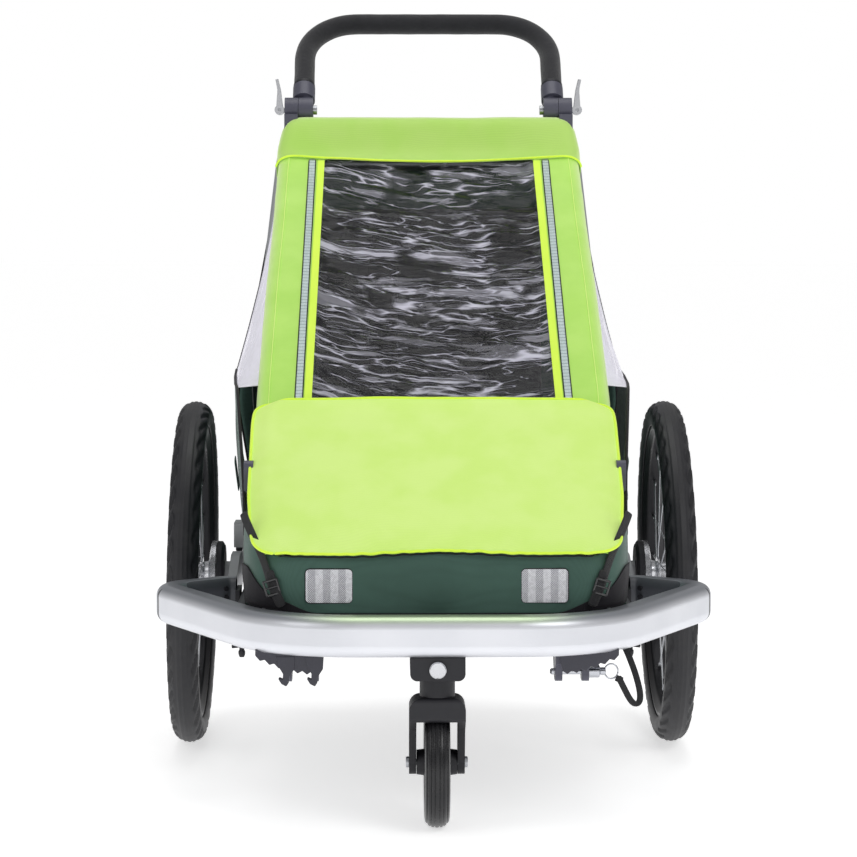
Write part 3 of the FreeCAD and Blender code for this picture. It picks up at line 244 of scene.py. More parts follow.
def window_film(name):
    """Clear wrinkled film, painted nearly black and half opaque where one sees through it, a painted
    shade over the interior, with painted lilac glints along its creases, which fan out from the left
    edge."""
    n = Nodes(name)
    x, along, _ = slope_axes(n)
    fan = n.scaled(x, 0.12, n.times(n.times(x, x), -0.9))
    bent = n.add("CombineXYZ", x, n.plus(along, fan)).outputs[0]
    sway = n.noise(110, 3, bent, output="Color")
    centred = n.add("VectorMath", sway, (0.5, 0.5, 0.5), operation="SUBTRACT").outputs[0]
    offset = n.add("VectorMath", centred, operation="SCALE", Scale=42 * MM).outputs[0]
    warped = n.add("VectorMath", bent, offset, operation="ADD").outputs[0]
    large, middling, small = (
        n.mapped(warped, scale, shift)
        for scale, shift in (((3.4, 19, 1), 0.0), ((6.5, 38, 1), 3.7), ((12, 84, 1), 8.1)))
    # Painted glints: bands and thin lines of lilac where the film's creases would catch light.
    sheets = n.span(n.noise(1000, 4, large, 0.62), 0.555, 0.595, 0, 0.40)
    shards = n.span(n.noise(1000, 4, middling, 0.62), 0.565, 0.595, 0, 0.30)
    glints = n.plus(n.plus(sheets, shards), n.times(ridges(n, large, 34), 0.70),
                    n.times(ridges(n, middling, 34), 0.60), n.times(ridges(n, small, 30), 0.24))
    painted_glint_share = n.times(glints, n.span(n.noise(85, 2, warped), 0.31, 0.47, 0.15, 1.0))
    # Painted shade: the film is nearly black and half opaque over the interior; the painted glints make
    # it lilac and more opaque.
    return n.set(Base_Color=n.mix(n.span(painted_glint_share, 0.05, 0.9), srgb(10, 10, 14), srgb(206, 205, 220)),
                 Roughness=n.scaled(n.noise(20, 3), 0.10, 0.06), Specular_IOR_Level=0.35,
                 Alpha=n.math("MINIMUM", n.scaled(painted_glint_share, 0.5, 0.48), 0.92),
                 Normal=n.bump(glints, 3 * MM, 0.5))


def clear_film(name, tint, alpha):
    n = Nodes(name)
    clouds = n.noise(60, 4)
    # Painted glow: the film emits its own tint.
    return n.set(Base_Color=n.mix(clouds, tint, tinted(tint, 0.9)),
                 Roughness=n.scaled(clouds, 0.2, 0.15), Specular_IOR_Level=0.6,
                 Alpha=n.scaled(clouds, 0.25, alpha - 0.12), Emission_Color=tint,
                 Emission_Strength=0.32, Normal=n.bump(n.noise(45, 4), 4 * MM, 0.5))


def reflective(name):
    """Silver tape with small cross bars along the cover's slope."""
    n = Nodes(name)
    bars = n.math("GREATER_THAN", n.math("FRACT", n.math("DIVIDE", slope_axes(n)[1], 7.5 * MM)), 0.82)
    cells = n.cells(1.6)
    silver = n.mix(cells, srgb(150, 168, 166), srgb(184, 196, 196))
    return n.set(Base_Color=n.mix(n.times(bars, 0.6), silver, srgb(76, 88, 88)), Metallic=0.35,
                 Roughness=n.scaled(n.noise(6), 0.2, 0.3), Normal=n.bump(cells, 0.15 * MM))


def prismatic(name):
    """Clear reflector lens: rows of fine prisms with painted light and shade on their facets, in
    upright fields with painted highlights, and painted grey glint spots.
    """
    n = Nodes(name)
    x, _, z = n.axes()
    prisms = n.span(n.times(n.wave(x, 2.3 * MM), n.wave(z, 2.3 * MM)), -0.7, 0.7)
    field = n.span(n.wave(x, 19 * MM), -0.25, 0.25)
    glint = n.span(n.noise(3.5, 2), 0.40, 0.62)
    # Painted light and shade: the prism facets alternate between dark and bright.
    shade = n.mix(prisms, srgb(64, 66, 72), srgb(232, 232, 240))
    # Painted highlights: upright fields turned bright.
    bright = n.mix(n.times(field, 0.55), shade, srgb(244, 244, 250))
    # Painted glints: grey spots mixed in.
    return n.set(Base_Color=n.mix(n.times(glint, 0.30), bright, srgb(150, 150, 158)),
                 Roughness=n.scaled(prisms, 0.25, 0.08), Metallic=0.25, Coat_Weight=1.0,
                 Coat_Roughness=0.04, Normal=n.bump(prisms, 0.6 * MM, 0.7))


def foam(name):
    n = Nodes(name)
    lumps = n.bump(n.noise(5, 3), 0.4 * MM)
    return n.set(Base_Color=n.mix(n.noise(20, 4), srgb(27, 27, 30), srgb(41, 41, 45)),
                 Roughness=0.88, Sheen_Weight=0.25, Specular_IOR_Level=0.3,
                 Normal=n.bump(n.cells(1.1), 0.35 * MM, below=lumps))


def bumper_metal(name):
    """Satin aluminium, darker grey and not metallic on the forward faces of the returning legs, with
    painted shade on faces turned up and a painted green reflection of the cover in their middle.
    """
    n = Nodes(name)
    _, facing, up = n.axes(n.add("NewGeometry").outputs["Normal"])
    x, y, _ = n.axes()
    # Darker grey, not metallic, on the forward faces of the returning legs.
    inner = n.times(n.math("GREATER_THAN", y, RETURN_FRONT), n.math("LESS_THAN", facing, -0.25))
    brushed = n.noise(0.5, 2, n.mapped(n.place, (0.05, 0.05, 1)))
    silver = n.mix(n.noise(80, 3), srgb(212, 214, 220), srgb(228, 229, 234))
    # Painted reflection: a green tint of the lime cover in the middle.
    painted_green_reflection_share = n.span(n.math("ABSOLUTE", x), 0.10, 0.20, 1, 0)
    painted_top_shade = n.mix(painted_green_reflection_share, srgb(158, 161, 168), srgb(186, 204, 172))
    # Painted shade: faces turned up are darker grey.
    silver = n.mix(n.span(up, 0.30, 0.80), silver, painted_top_shade)
    return n.set(Base_Color=n.mix(inner, silver, srgb(74, 76, 82)),
                 Metallic=n.math("SUBTRACT", 0.85, n.times(inner, 0.85)),
                 Roughness=n.scaled(n.noise(25, 4), 0.08, 0.36),
                 Normal=n.bump(brushed, 0.015 * MM))


# Meshes


def between(x, places, values):
    return float(np.interp(x, places, values))


def link(name, mesh, material, smooth=True):
    piece = bpy.data.objects.new(name, mesh)
    bpy.context.scene.collection.objects.link(piece)
    mesh.materials.append(material)
    if smooth:
        mesh.shade_smooth()
    return piece


def from_faces(name, points, faces, material, smooth=True):
    mesh = bpy.data.meshes.new(name)
    mesh.from_pydata([tuple(p) for p in points], [], faces)
    mesh.validate()
    return link(name, mesh, material, smooth)


def modify(piece, kind, **values):
    modifier = piece.modifiers.new(kind.title(), kind)
    for key, value in values.items():
        setattr(modifier, key, value)
    return modifier


def clean(piece, weld=False, fill=False, split=False, lone=False):
    """Turns faces outwards. weld joins doubled points, fill closes open ends, split cuts faces of
    many corners, and lone drops points without a face."""
    mesh = bmesh.new()
    mesh.from_mesh(piece.data)
    if lone:
        bmesh.ops.delete(mesh, geom=[v for v in mesh.verts if not v.link_faces], context="VERTS")
    if weld:
        bmesh.ops.remove_doubles(mesh, verts=mesh.verts, dist=0.01 * MM)
    if fill:
        bmesh.ops.holes_fill(mesh, edges=[e for e in mesh.edges if e.is_boundary])
    if not lone:
        bmesh.ops.recalc_face_normals(mesh, faces=mesh.faces)
    if split:
        bmesh.ops.triangulate(mesh, faces=[f for f in mesh.faces if len(f.verts) > 4])
    mesh.to_mesh(piece.data)
    mesh.free()


def quads(rows, columns, loop=False, skip=None):
    """Faces of a grid of points, row after row."""
    cells = [(i, j) for i in range(rows - 1) for j in range(columns if loop else columns - 1)
             if not (skip and skip(i, j))]
    return [(i * columns + j, i * columns + (j + 1) % columns,
             (i + 1) * columns + (j + 1) % columns, (i + 1) * columns + j) for i, j in cells]


def sheet(name, points, material, thick=1.0 * MM, levels=1, skip=None, loop=False):
    """A surface through rows of points, with some thickness."""
    points = np.array([[tuple(p) for p in row] for row in points])
    piece = from_faces(name, points.reshape(-1, 3), quads(*points.shape[:2], loop, skip), material)
    if skip:
        clean(piece, lone=True)
    if levels:
        modify(piece, "SUBSURF", levels=levels, render_levels=levels)
    if thick:
        modify(piece, "SOLIDIFY", thickness=thick, offset=0)
    return piece


def outline(point, *sides):
    """Points along the sides of a surface, each side given by its u and its v, one of them fixed."""
    places = []
    for u, v in sides:
        count = np.size(u) * np.size(v)
        side = list(zip(np.broadcast_to(u, count), np.broadcast_to(v, count)))
        places += side[1:] if places else side
    return [point(u, v) for u, v in places]


def surface(name, point, across, up, material, **values):
    """A sheet through point(u, v), with u across and v up."""
    return sheet(name, [[point(u, v) for u in across] for v in up], material, **values)


class Line:
    """A line through corners, softened, read by the distance along it."""
    STEP = 2 * MM

    def __init__(self, corners, soft=0.0):
        corners = np.array([tuple(c) for c in corners], float)
        reach = self.lengths(corners)
        count = max(2, int(reach[-1] / self.STEP))
        s = np.linspace(0, reach[-1], count)
        points = np.stack([np.interp(s, reach, column) for column in corners.T], 1)
        if soft:
            width = min(max(1, int(3 * soft / self.STEP)), count - 1)
            kernel = np.exp(-0.5 * (np.arange(-width, width + 1) * self.STEP / soft) ** 2)
            kernel /= kernel.sum()
            before = 2 * points[0] - points[width:0:-1]
            after = 2 * points[-1] - points[-2:-width - 2:-1]
            padded = np.vstack([before, points, after])
            points = np.stack([np.convolve(c, kernel, "valid") for c in padded.T], 1)
        self.points = points
        self.s = self.lengths(points)
        self.length = self.s[-1]
        self.slopes = np.gradient(points, self.s, axis=0)

    @staticmethod
    def lengths(points):
        return np.r_[0, np.cumsum(np.linalg.norm(np.diff(points, axis=0), axis=1))]

    def at(self, s):
        return Vector([np.interp(s, self.s, column) for column in self.points.T])

    def heading(self, s):
        return Vector([np.interp(s, self.s, column) for column in self.slopes.T]).normalized()

    def out(self, s):
        """Across the heading of a flat line."""
        heading = self.heading(s)
        return Vector((heading.y, -heading.x))


def sweep(name, corners, section, material, soft=8 * MM, across=None, step=4 * MM):
    """A section, given as (sideways, outward) points, drawn along a softened line.
    across fixes the sideways direction; otherwise it stays as level as it can."""
    line = Line(corners, soft)
    rings = []
    for s in np.linspace(0, line.length, max(3, int(line.length / step))):
        heading = line.heading(s)
        side = across
        if side is None:
            side = heading.cross(Z_AXIS)
            side = side if side.length > 0.05 else X_AXIS
        side = (side - heading * side.dot(heading)).normalized()
        out = heading.cross(side)
        rings.append([line.at(s) + side * a + out * b for a, b in section])
    piece = sheet(name, rings, material, thick=0, levels=0, loop=True)
    clean(piece, fill=True)
    piece.data.shade_smooth()
    modify(piece, "SUBSURF", levels=1, render_levels=1)
    return piece


def circle(count, extra=0):
    """Angles round a circle; one extra closes it."""
    return [math.tau * k / count for k in range(count + extra)]


def ring_section(radius, sides=8):
    return [(radius * math.cos(a), radius * math.sin(a)) for a in circle(sides)]


def strap_section(width, thick):
    """Flat strap, in millimetres, with its long edges rounded."""
    w, t = width * MM / 2, thick * MM / 2
    e = min(w * 0.1, t)
    return [(-w, 0), (-w + e, -t), (0, -t), (w - e, -t), (w, 0), (w - e, t), (0, t), (-w + e, t)]


def cord(name, corners, radius, material, soft=5 * MM, **values):
    """A round cord; its radius is in millimetres."""
    return sweep(name, corners, ring_section(radius * MM), material, soft, **values)


def block(name, middle, size, material, round_by=2 * MM, turn=None):
    """A moulded block with rounded edges; turn is its rotation."""
    mesh = bmesh.new()
    bmesh.ops.create_cube(mesh, size=1)
    bmesh.ops.scale(mesh, vec=size, verts=mesh.verts)
    data = bpy.data.meshes.new(name)
    bmesh.ops.bevel(mesh, geom=mesh.edges[:], offset=round_by, segments=3, affect="EDGES",
                    profile=0.6)
    mesh.to_mesh(data)
    mesh.free()
    data.transform(Matrix.Translation(middle) @ (turn.to_4x4() if turn else Matrix.Identity(4)))
    return link(name, data, material)


def lathe(name, profile, middle, axis, material, sides=32):
    """A turned piece: profile is (along, radius) points in millimetres from one end to the other."""
    axis = axis.normalized()
    first = axis.orthogonal().normalized()
    second = axis.cross(first)
    points = [middle + axis * (along * MM)
              + (first * math.cos(angle) + second * math.sin(angle)) * (radius * MM)
              for along, radius in profile for angle in circle(sides)]
    faces = quads(len(profile), sides, loop=True)
    faces += [tuple(range(sides))[::-1], tuple(range(len(points) - sides, len(points)))]
    piece = from_faces(name, points, faces, material)
    clean(piece)
    modify(piece, "BEVEL", width=0.4 * MM, segments=2, limit_method="ANGLE")
    piece.data.shade_smooth()
    return piece


def joined(name, pieces):
    """Several pieces of one material in one mesh, their modifiers applied."""
    graph = bpy.context.evaluated_depsgraph_get()
    bpy.context.view_layer.update()
    graph.update()
    together = bmesh.new()
    material = pieces[0].data.materials[0]
    for piece in pieces:
        baked = bpy.data.meshes.new_from_object(piece.evaluated_get(graph))
        baked.transform(piece.matrix_world)
        together.from_mesh(baked)
        bpy.data.meshes.remove(baked)
        bpy.data.objects.remove(piece)
    data = bpy.data.meshes.new(name)
    together.to_mesh(data)
    together.free()
    return link(name, data, material, smooth=False)


def ripple(point, size, seed=0.0):
    """Smooth wander between -1 and 1."""
    return noise.noise(Vector(point) / size + Vector((seed, seed * 1.7, -seed)))


def ease(value, low, high):
    t = min(1.0, max(0.0, (value - low) / (high - low)))
    return t * t * (3 - 2 * t)


def crown(value):
    """0 at both ends of 0..1 and 1 halfway."""
    return math.sin(math.pi * value)


# The rain cover's lines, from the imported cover


cover_low, cover_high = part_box("rain_cover")
window_low, window_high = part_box("cover_window")
HEM = Vector((cover_low.y, cover_low.z + 1 * MM))
ROOF_DEPTH, HOOD_RISE, HOOD_LEAN = 42 * MM, 52 * MM, 14 * MM
ROOF_FRONT = Vector((cover_high.y - ROOF_DEPTH, cover_high.z))
SLOPE_TOP = Vector((ROOF_FRONT.x - HOOD_LEAN, ROOF_FRONT.y - HOOD_RISE))
SLOPE_LENGTH = (SLOPE_TOP - HEM).length
SLOPE_ANGLE = math.atan2(SLOPE_TOP.y - HEM.y, SLOPE_TOP.x - HEM.x)
COVER_LINE = Line([HEM, SLOPE_TOP, ROOF_FRONT + Vector((0, 4 * MM)),
                   Vector((cover_high.y, cover_high.z + 3 * MM))], soft=9 * MM)
WINDOW_FROM = (window_low.y - HEM.x) / math.cos(SLOPE_ANGLE) - 5 * MM
WINDOW_TO = (window_high.y - HEM.x) / math.cos(SLOPE_ANGLE) + 28 * MM
COVER_START, COVER_CORNER, COVER_SAG = 16 * MM, 20 * MM, 5 * MM
bumper_low, bumper_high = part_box("front_bumper")
RETURN_FRONT = bumper_high.y - 125 * MM


def slope_height(y):
    """Height of the cover's slope at a place along the trailer."""
    return HEM.y + (y - HEM.x) * math.tan(SLOPE_ANGLE)


def cover_half(s):
    """Half the cover's width, so far up its slope."""
    return between(s, (0, 0.10, 0.36, 0.62, 0.76, 0.90, 0.95, 0.985, 1.04),
                   (0.226, 0.234, 0.2385, 0.2345, 0.2305, 0.2285, 0.2265, 0.219, 0.211))


def window_half(s):
    return between(s, (WINDOW_FROM, WINDOW_TO), (0.1655, 0.1585))


def cover_point(s, a, lift=0.0):
    """A point of the cover: s up the slope, a sideways along the cloth, lift off its face."""
    half = cover_half(s)
    flat, turn = half - COVER_CORNER, COVER_CORNER * math.pi / 2
    reach = abs(a)
    angle = min(turn, max(0.0, reach - flat)) / COVER_CORNER
    x = min(reach, flat) + COVER_CORNER * math.sin(angle)
    into = COVER_CORNER * (1 - math.cos(angle)) + max(0.0, reach - flat - turn)
    middle = COVER_LINE.at(s)
    hang = math.cos(min(1, x / half) * math.pi / 2) ** 0.8
    into += COVER_SAG * hang * ease(s, 0, 0.2) * (1 - ease(s, 0.86, 0.93))
    side = math.copysign(x, a)
    spot = (side, middle.x, middle.y)
    into += 1.6 * MM * ripple(spot, 0.13, 3.1) + 0.7 * MM * ripple(spot, 0.045, 8.2)
    into -= lift * math.cos(angle)
    wave = 1.2 * MM * ripple((middle.x * 2, reach, 0), 0.06, 5.5) * ease(reach, flat, half)
    side += math.copysign(lift, a) * math.sin(angle) + math.copysign(wave, a)
    inward = COVER_LINE.out(s)
    return Vector((side, middle.x + inward.x * into, middle.y + inward.y * into))


def cloth_half(s, depth):
    """Distance along the cloth from its middle to the edge of a side wrap of that depth."""
    return cover_half(s) - COVER_CORNER + COVER_CORNER * math.pi / 2 + depth - COVER_CORNER


def wrap_half(s):
    """The same for the cover's own side wrap."""
    return cloth_half(s, between(s, (0, 0.05, 0.12, 0.30, SLOPE_LENGTH, COVER_LINE.length),
                                 (0, 4 * MM, 24 * MM, 46 * MM, 62 * MM, 50 * MM)))


def rain_cover(lime):
    """One continuous sheet from the hem over the slope and the sides to the roof."""
    within, beyond = 10, 16
    rows = np.r_[np.linspace(COVER_START, WINDOW_FROM, 14)[:-1],
                 np.linspace(WINDOW_FROM, WINDOW_TO, 40),
                 np.linspace(WINDOW_TO, COVER_LINE.length, 16)[1:]]
    points = []
    for s in rows:
        stations = np.r_[np.linspace(0, window_half(s), within + 1)[:-1],
                         np.linspace(window_half(s), wrap_half(s), beyond + 1)]
        points.append([cover_point(s, a) for a in (*-stations[:0:-1], *stations)])

    def hole(i, j):
        return (WINDOW_FROM <= (rows[i] + rows[i + 1]) / 2 <= WINDOW_TO
                and beyond <= j < beyond + 2 * within)

    cover = sheet("rain_cover_sheet", points, lime, thick=0.9 * MM, skip=hole)
    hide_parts("rain_cover")
    return cover


def tape_middle(s):
    return between(s, (WINDOW_FROM, WINDOW_TO), (0.1815, 0.1755))


def binding_middle(s):
    return window_half(s) + 3.75 * MM


def cover_trims(binding, seam_cloth, tape, dark):
    """Strips along the window, the long seams and the bindings of the side wraps."""
    pieces = []
    strips = (("window_binding", binding_middle, 5.25, binding, 1.1, 1.2),
              ("reflective_edge", tape_middle, 5.9, dark, 1.0, 0.8),
              ("reflective_tape", tape_middle, 4.5, tape, 1.9, 0.8))
    for side, name in SIDES:
        for part, middle, half, cloth, lift, thick in strips:
            pieces.append(surface(
                f"{name}_{part}",
                lambda u, s: cover_point(s, side * (middle(s) + u * half * MM), lift * MM),
                np.linspace(-1, 1, 6), np.linspace(WINDOW_FROM - 12 * MM, WINDOW_TO - 4 * MM, 60),
                cloth, thick=thick * MM))
        seam = [cover_point(s, side * (cover_half(s) - 17 * MM), 1.0 * MM)
                for s in np.linspace(0.05, 0.93, 60)]
        pieces.append(sweep(f"{name}_long_seam", seam, ring_section(0.9 * MM, 6), seam_cloth,
                            soft=4 * MM))
        edge = [cover_point(s, side * (wrap_half(s) - 1 * MM)) for s in np.linspace(0.11, 1.02, 60)]
        pieces.append(cord(f"{name}_wrap_binding", edge, 1.7, binding, 4 * MM))
    return pieces


def hood(lime, binding):
    """Double layer over the top of the cover, with a sagging seam."""
    width = 0.245

    def lower(a):
        """How far up the slope the hood's lower seam lies, at a place across."""
        return 0.930 - 13 * MM * math.cos(min(1, abs(a) / 0.20) * math.pi / 2)

    def point(a, v):
        s = lower(a) + (COVER_LINE.length - lower(a)) * v
        lift = 2.6 * MM + 1.0 * MM * ripple((a, s, 0), 0.05, 2.2)
        return cover_point(s, a * cloth_half(s, 42 * MM) / width, lift)

    band = surface("cover_hood", point, np.linspace(-width, width, 61), np.linspace(0, 1, 16), lime,
                   thick=1.2 * MM)
    seam = [cover_point(lower(a) + 1 * MM, a, 3.8 * MM) for a in np.linspace(-0.238, 0.238, 70)]
    return [band, cord("hood_seam", seam, 1.9, binding)]


FLAP_TOP, FLAP_FOOT, FLAP_CORNER = 0.321, 7 * MM, 26 * MM


def flap_point(u, v, lift=0.0):
    """A point of the front flap: u from -1 to 1 across, v from 0 at the hem to 1 at the top."""
    s = FLAP_FOOT + (FLAP_TOP - FLAP_FOOT) * v
    edge = abs(u)
    half = between(s, (0, 0.05, 0.13, 0.28, FLAP_TOP), (0.2285, 0.2345, 0.2405, 0.2410, 0.2385))
    foot, top = s - FLAP_FOOT, FLAP_TOP - s
    corner = FLAP_CORNER if foot < top else FLAP_CORNER * 0.75
    near = min(foot, top, corner)
    x = u * (half - corner + math.sqrt(max(0, corner ** 2 - (corner - near) ** 2)))
    gather = (1 - ease(foot, 0, 0.03)) * 0.9 * MM * math.sin(u * 70 + 3 * math.sin(u * 9))
    s += gather * 0.6 - 5 * MM * math.sin(edge * math.pi) * (1 - ease(foot, 0, 0.05))
    middle = COVER_LINE.at(max(0.0, s))
    outward = -COVER_LINE.out(max(0.0, s))
    swell = 9 * MM * (1 - edge ** 3.0) * (0.35 + 0.65 * math.sin(math.pi * min(1, v + 0.1)))
    out = 7 * MM + lift + swell - 8 * MM * ease(edge, 0.9, 1.0) * ease(foot, 0.01, 0.09) + gather
    spot = (x, s, 0)
    out += 2.2 * MM * ripple(spot, 0.11, 1.3) + 0.8 * MM * ripple(spot, 0.04, 6.1)
    return Vector((x, middle.x + outward.x * out, middle.y + outward.y * out))


def front_flap(lime, binding, dark):
    across = np.sin(np.linspace(-1, 1, 57) * math.pi / 2)
    up = (1 - np.cos(np.linspace(0, 1, 37) * math.pi)) / 2
    flap = surface("front_flap", flap_point, across, up, lime, thick=1.4 * MM)
    rim = outline(lambda u, v: flap_point(u, v, 0.6 * MM), (np.linspace(-1, 1, 80), 0), (1, up),
                  (np.linspace(1, -1, 60), 1), (-1, up[::-1]))
    edge = cord("flap_binding", rim, 2.1, binding, 3 * MM)
    # A thin dark cord just under and behind the flap's hem.
    under = [flap_point(u, 0, -1.5 * MM) - Z_AXIS * 2.4 * MM for u in np.linspace(-0.97, 0.97, 80)]
    return [flap, edge, cord("flap_hem_dark_line", under, 1.0, dark, 3 * MM)]


def film(material):
    """Wrinkled clear window behind the cover's opening."""
    def point(u, s):
        half = window_half(s) + 5 * MM
        a = u * half
        slant = s + a * 0.32 + 0.02 * ripple((a, s, 0), 0.12, 4.0)
        crease = 1 - abs(ripple((a * 0.9, slant * 5.5, 0), 0.11, 7.7))
        fine = 1 - abs(ripple((a * 1.6, slant * 11, 0), 0.1, 1.9))
        drop = (4.5 * MM * crease ** 3 + 1.8 * MM * fine ** 3) * ease(half - abs(a), 0, 0.02)
        return cover_point(s, a, -2.2 * MM - drop)

    window = surface("window_film", point, np.linspace(-1, 1, 90),
                     np.linspace(WINDOW_FROM - 6 * MM, WINDOW_TO + 6 * MM, 110), material,
                     thick=0, levels=0)
    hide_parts("cover_window")
    return window


# Body fabric


panel_low, panel_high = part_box("side_panels")
PANEL_FRONT, PANEL_REAR = -0.365, 0.464
PANEL_FOOT, SHOULDER = panel_low.z, panel_high.z


def panel_top(y):
    return between(y, (PANEL_FRONT, -0.150, -0.105, 0.5), (0.356, 0.510, SHOULDER, SHOULDER))


def panel_side(y, z):
    """How far out the side wall stands: narrow at the front, fullest at the rear shoulder."""
    h = min(1, max(0, (z - PANEL_FOOT) / (SHOULDER - PANEL_FOOT)))
    places = (PANEL_FRONT, -0.2, 0, 0.2, 0.44)
    foot = between(y, places, (0.2425, 0.2485, 0.2555, 0.262, 0.264))
    shoulder = between(y, places, (0.2445, 0.259, 0.2745, 0.286, 0.297))
    return foot + (shoulder - foot) * h + 9 * MM * ease(y, -0.3, 0.3) * crown(h)


def side_panels(green, dark):
    pieces = []
    for side, name in SIDES:
        def wall(u, v):
            y = PANEL_FRONT + (PANEL_REAR - 0.035 * v - PANEL_FRONT) * u
            z = PANEL_FOOT - 1 * MM + (panel_top(y) - PANEL_FOOT + 1 * MM) * v
            spot = (side, y, z)
            x = panel_side(y, z) + 1.8 * MM * ripple(spot, 0.12, 2.0 + side) * (1 - 0.6 * v)
            return side * (x + 1.0 * MM * ripple(spot, 0.04, 9.0)), y, z

        def off(y, z, lift):
            return Vector((side * (panel_side(y, z) + lift), y, z))

        pieces.append(surface(f"{name}_side_cloth", wall, np.linspace(0, 1, 60),
                              np.linspace(0, 1, 26), green, thick=1.6 * MM))
        top = [off(y, panel_top(y), 0.6 * MM) for y in np.linspace(-0.36, 0.404, 60)]
        pieces.append(cord(f"{name}_shoulder_piping", top, 2.4, dark, 10 * MM))
        foot = [off(y, PANEL_FOOT, 1.2 * MM) + Z_AXIS * 7 * MM for y in np.linspace(-0.33, 0.436, 40)]
        pieces.append(sweep(f"{name}_foot_trim", foot, strap_section(2.0, 17), dark,
                            soft=6 * MM))
        ear = [Vector((side * (panel_side(y, 0.39 + 0.04 * t) + 2 * MM + 3 * MM * t), y,
                       0.385 + 0.045 * t)) for t, y in ((0, 0.02), (0.5, 0.015), (1, 0.01))]
        pieces.append(sweep(f"{name}_cloth_ear", ear, strap_section(34, 2), green,
                            soft=4 * MM, across=Y_AXIS))
    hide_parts("side_panels")
    return pieces


def side_windows(material, dark):
    """Milky film from the shoulder up to the rain cover and the rear hoop."""
    front, rear = -0.085, 0.400
    pieces = []
    for side, name in SIDES:
        def point(v, u):
            y = front + (rear - front) * u
            roof = min(slope_height(y) - 44 * MM, 0.862)
            top_x = cover_half(min((y - HEM.x) / math.cos(SLOPE_ANGLE), 0.95)) - 5 * MM
            z = panel_top(y) + (roof - panel_top(y)) * v
            x = (panel_side(y, SHOULDER) - 1 * MM) * (1 - v) + top_x * v
            x += 1.5 * MM * ripple((side, y, z), 0.07, 5.0) - 7 * MM * crown(v) * u
            return Vector((side * x, y - 34 * MM * v * ease(u, 0.72, 1), z))

        height = np.linspace(0, 1, 26)
        pieces.append(surface(f"{name}_side_film", point, height, np.linspace(0, 1, 44), material,
                              thick=0.5 * MM))
        edge = [point(v, 1) for v in height]
        pieces.append(cord(f"{name}_rear_piping", edge, 1.6, dark))
    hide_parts("side_windows")
    return pieces


FRONT_PLAN = [(0, -0.4440), (0.15, -0.4430), (0.183, -0.4405), (0.206, -0.4340), (0.223, -0.4210),
              (0.235, -0.4000), (0.2425, PANEL_FRONT)]


def front_wall(green, dark):
    """Front wall of the body, round both corners, with its black foot and corner patches."""
    plan = Line(FRONT_PLAN, soft=8 * MM)

    def foot(t):
        return 0.2635 + 17.5 * MM * ease(abs(plan.at(abs(t) * plan.length).x), 0.15, 0.205)

    def top(t):
        y = plan.at(abs(t) * plan.length).y
        return slope_height(y) + 11 * MM - 14 * MM * ease(abs(t), 0.45, 0.75)

    def patch(name, t_from, t_to, low, high, lift, material, thick):
        def point(t, r):
            z = low(t) + (high(t) - low(t)) * r
            a = abs(t) * plan.length
            spot, out = plan.at(a), plan.out(a)
            v = (z - foot(t)) / (top(t) - foot(t))
            bulge = 2.5 * MM * crown(min(1, max(0, v)))
            bulge += 0.8 * MM * ripple((t, v, 0), 0.2, 3.3) + lift
            return Vector((math.copysign(spot.x + out.x * bulge, t if t else 1),
                           spot.y + out.y * bulge, z))
        return surface(name, point, np.linspace(t_from, t_to, 80), np.linspace(0, 1, 14), material,
                       thick=thick)

    pieces = [patch("front_wall", -1, 1, foot, top, 0, green, 1.6 * MM),
              patch("front_foot_trim", -1, 1, lambda t: foot(t) - 5 * MM,
                    lambda t: foot(t) + 8 * MM, 1.6 * MM, dark, 1.4 * MM)]
    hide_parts("front_panel")
    for side, name in SIDES:
        pieces.append(patch(f"{name}_corner_patch", side * 0.64, side * 1.0,
                            lambda t: foot(t) - 2 * MM,
                            lambda t: 0.284 + 42 * MM * ease(abs(t), 0.66, 0.90), 2.4 * MM, dark,
                            1.2 * MM))
    return pieces


def corner_straps(strap, dark):
    """Webbing that ties the flap's lower corners to the body, each with its ladder buckle."""
    pieces = []
    for side, name in SIDES:
        run = [Vector((side * x, y, z)) for x, y, z in (
            (0.1960, -0.4440, 0.2800), (0.2065, -0.4400, 0.3020), (0.2130, -0.4365, 0.3250),
            (0.2205, -0.4310, 0.3450), (0.2290, -0.4220, 0.3620), (0.2385, -0.4080, 0.3800),
            (0.2445, -0.3990, 0.3940))]
        pieces.append(sweep(f"{name}_corner_strap", run, strap_section(12, 1.8), strap,
                            soft=6 * MM, across=Vector((side * 0.8, 0.6, 0.1))))
        second = [p + Vector((-side * 3 * MM, -2.4 * MM, 0)) for p in run[:3]]
        pieces.append(sweep(f"{name}_strap_fold", second, strap_section(12, 2.2), strap,
                            soft=4 * MM, across=Vector((side * 0.9, 0.3, 0.1))))
        turn = Matrix.Rotation(side * math.radians(16), 3, "Y")
        middle = Vector((side * 0.2065, -0.4435, 0.3040))
        bars = (((0, 0, 9), (19, 3.4, 3.2)), ((0, 0, 0), (19, 3.0, 2.6)), ((0, 0, -9), (19, 3.4, 3.2)),
                ((8.5, 0, 0), (2.8, 3.4, 19)), ((-8.5, 0, 0), (2.8, 3.4, 19)))
        pieces.append(joined(f"{name}_strap_buckle", [
            block("bar", middle + turn @ (Vector(offset) * MM), Vector(size) * MM, dark, 0.9 * MM, turn)
            for offset, size in bars]))
    return pieces


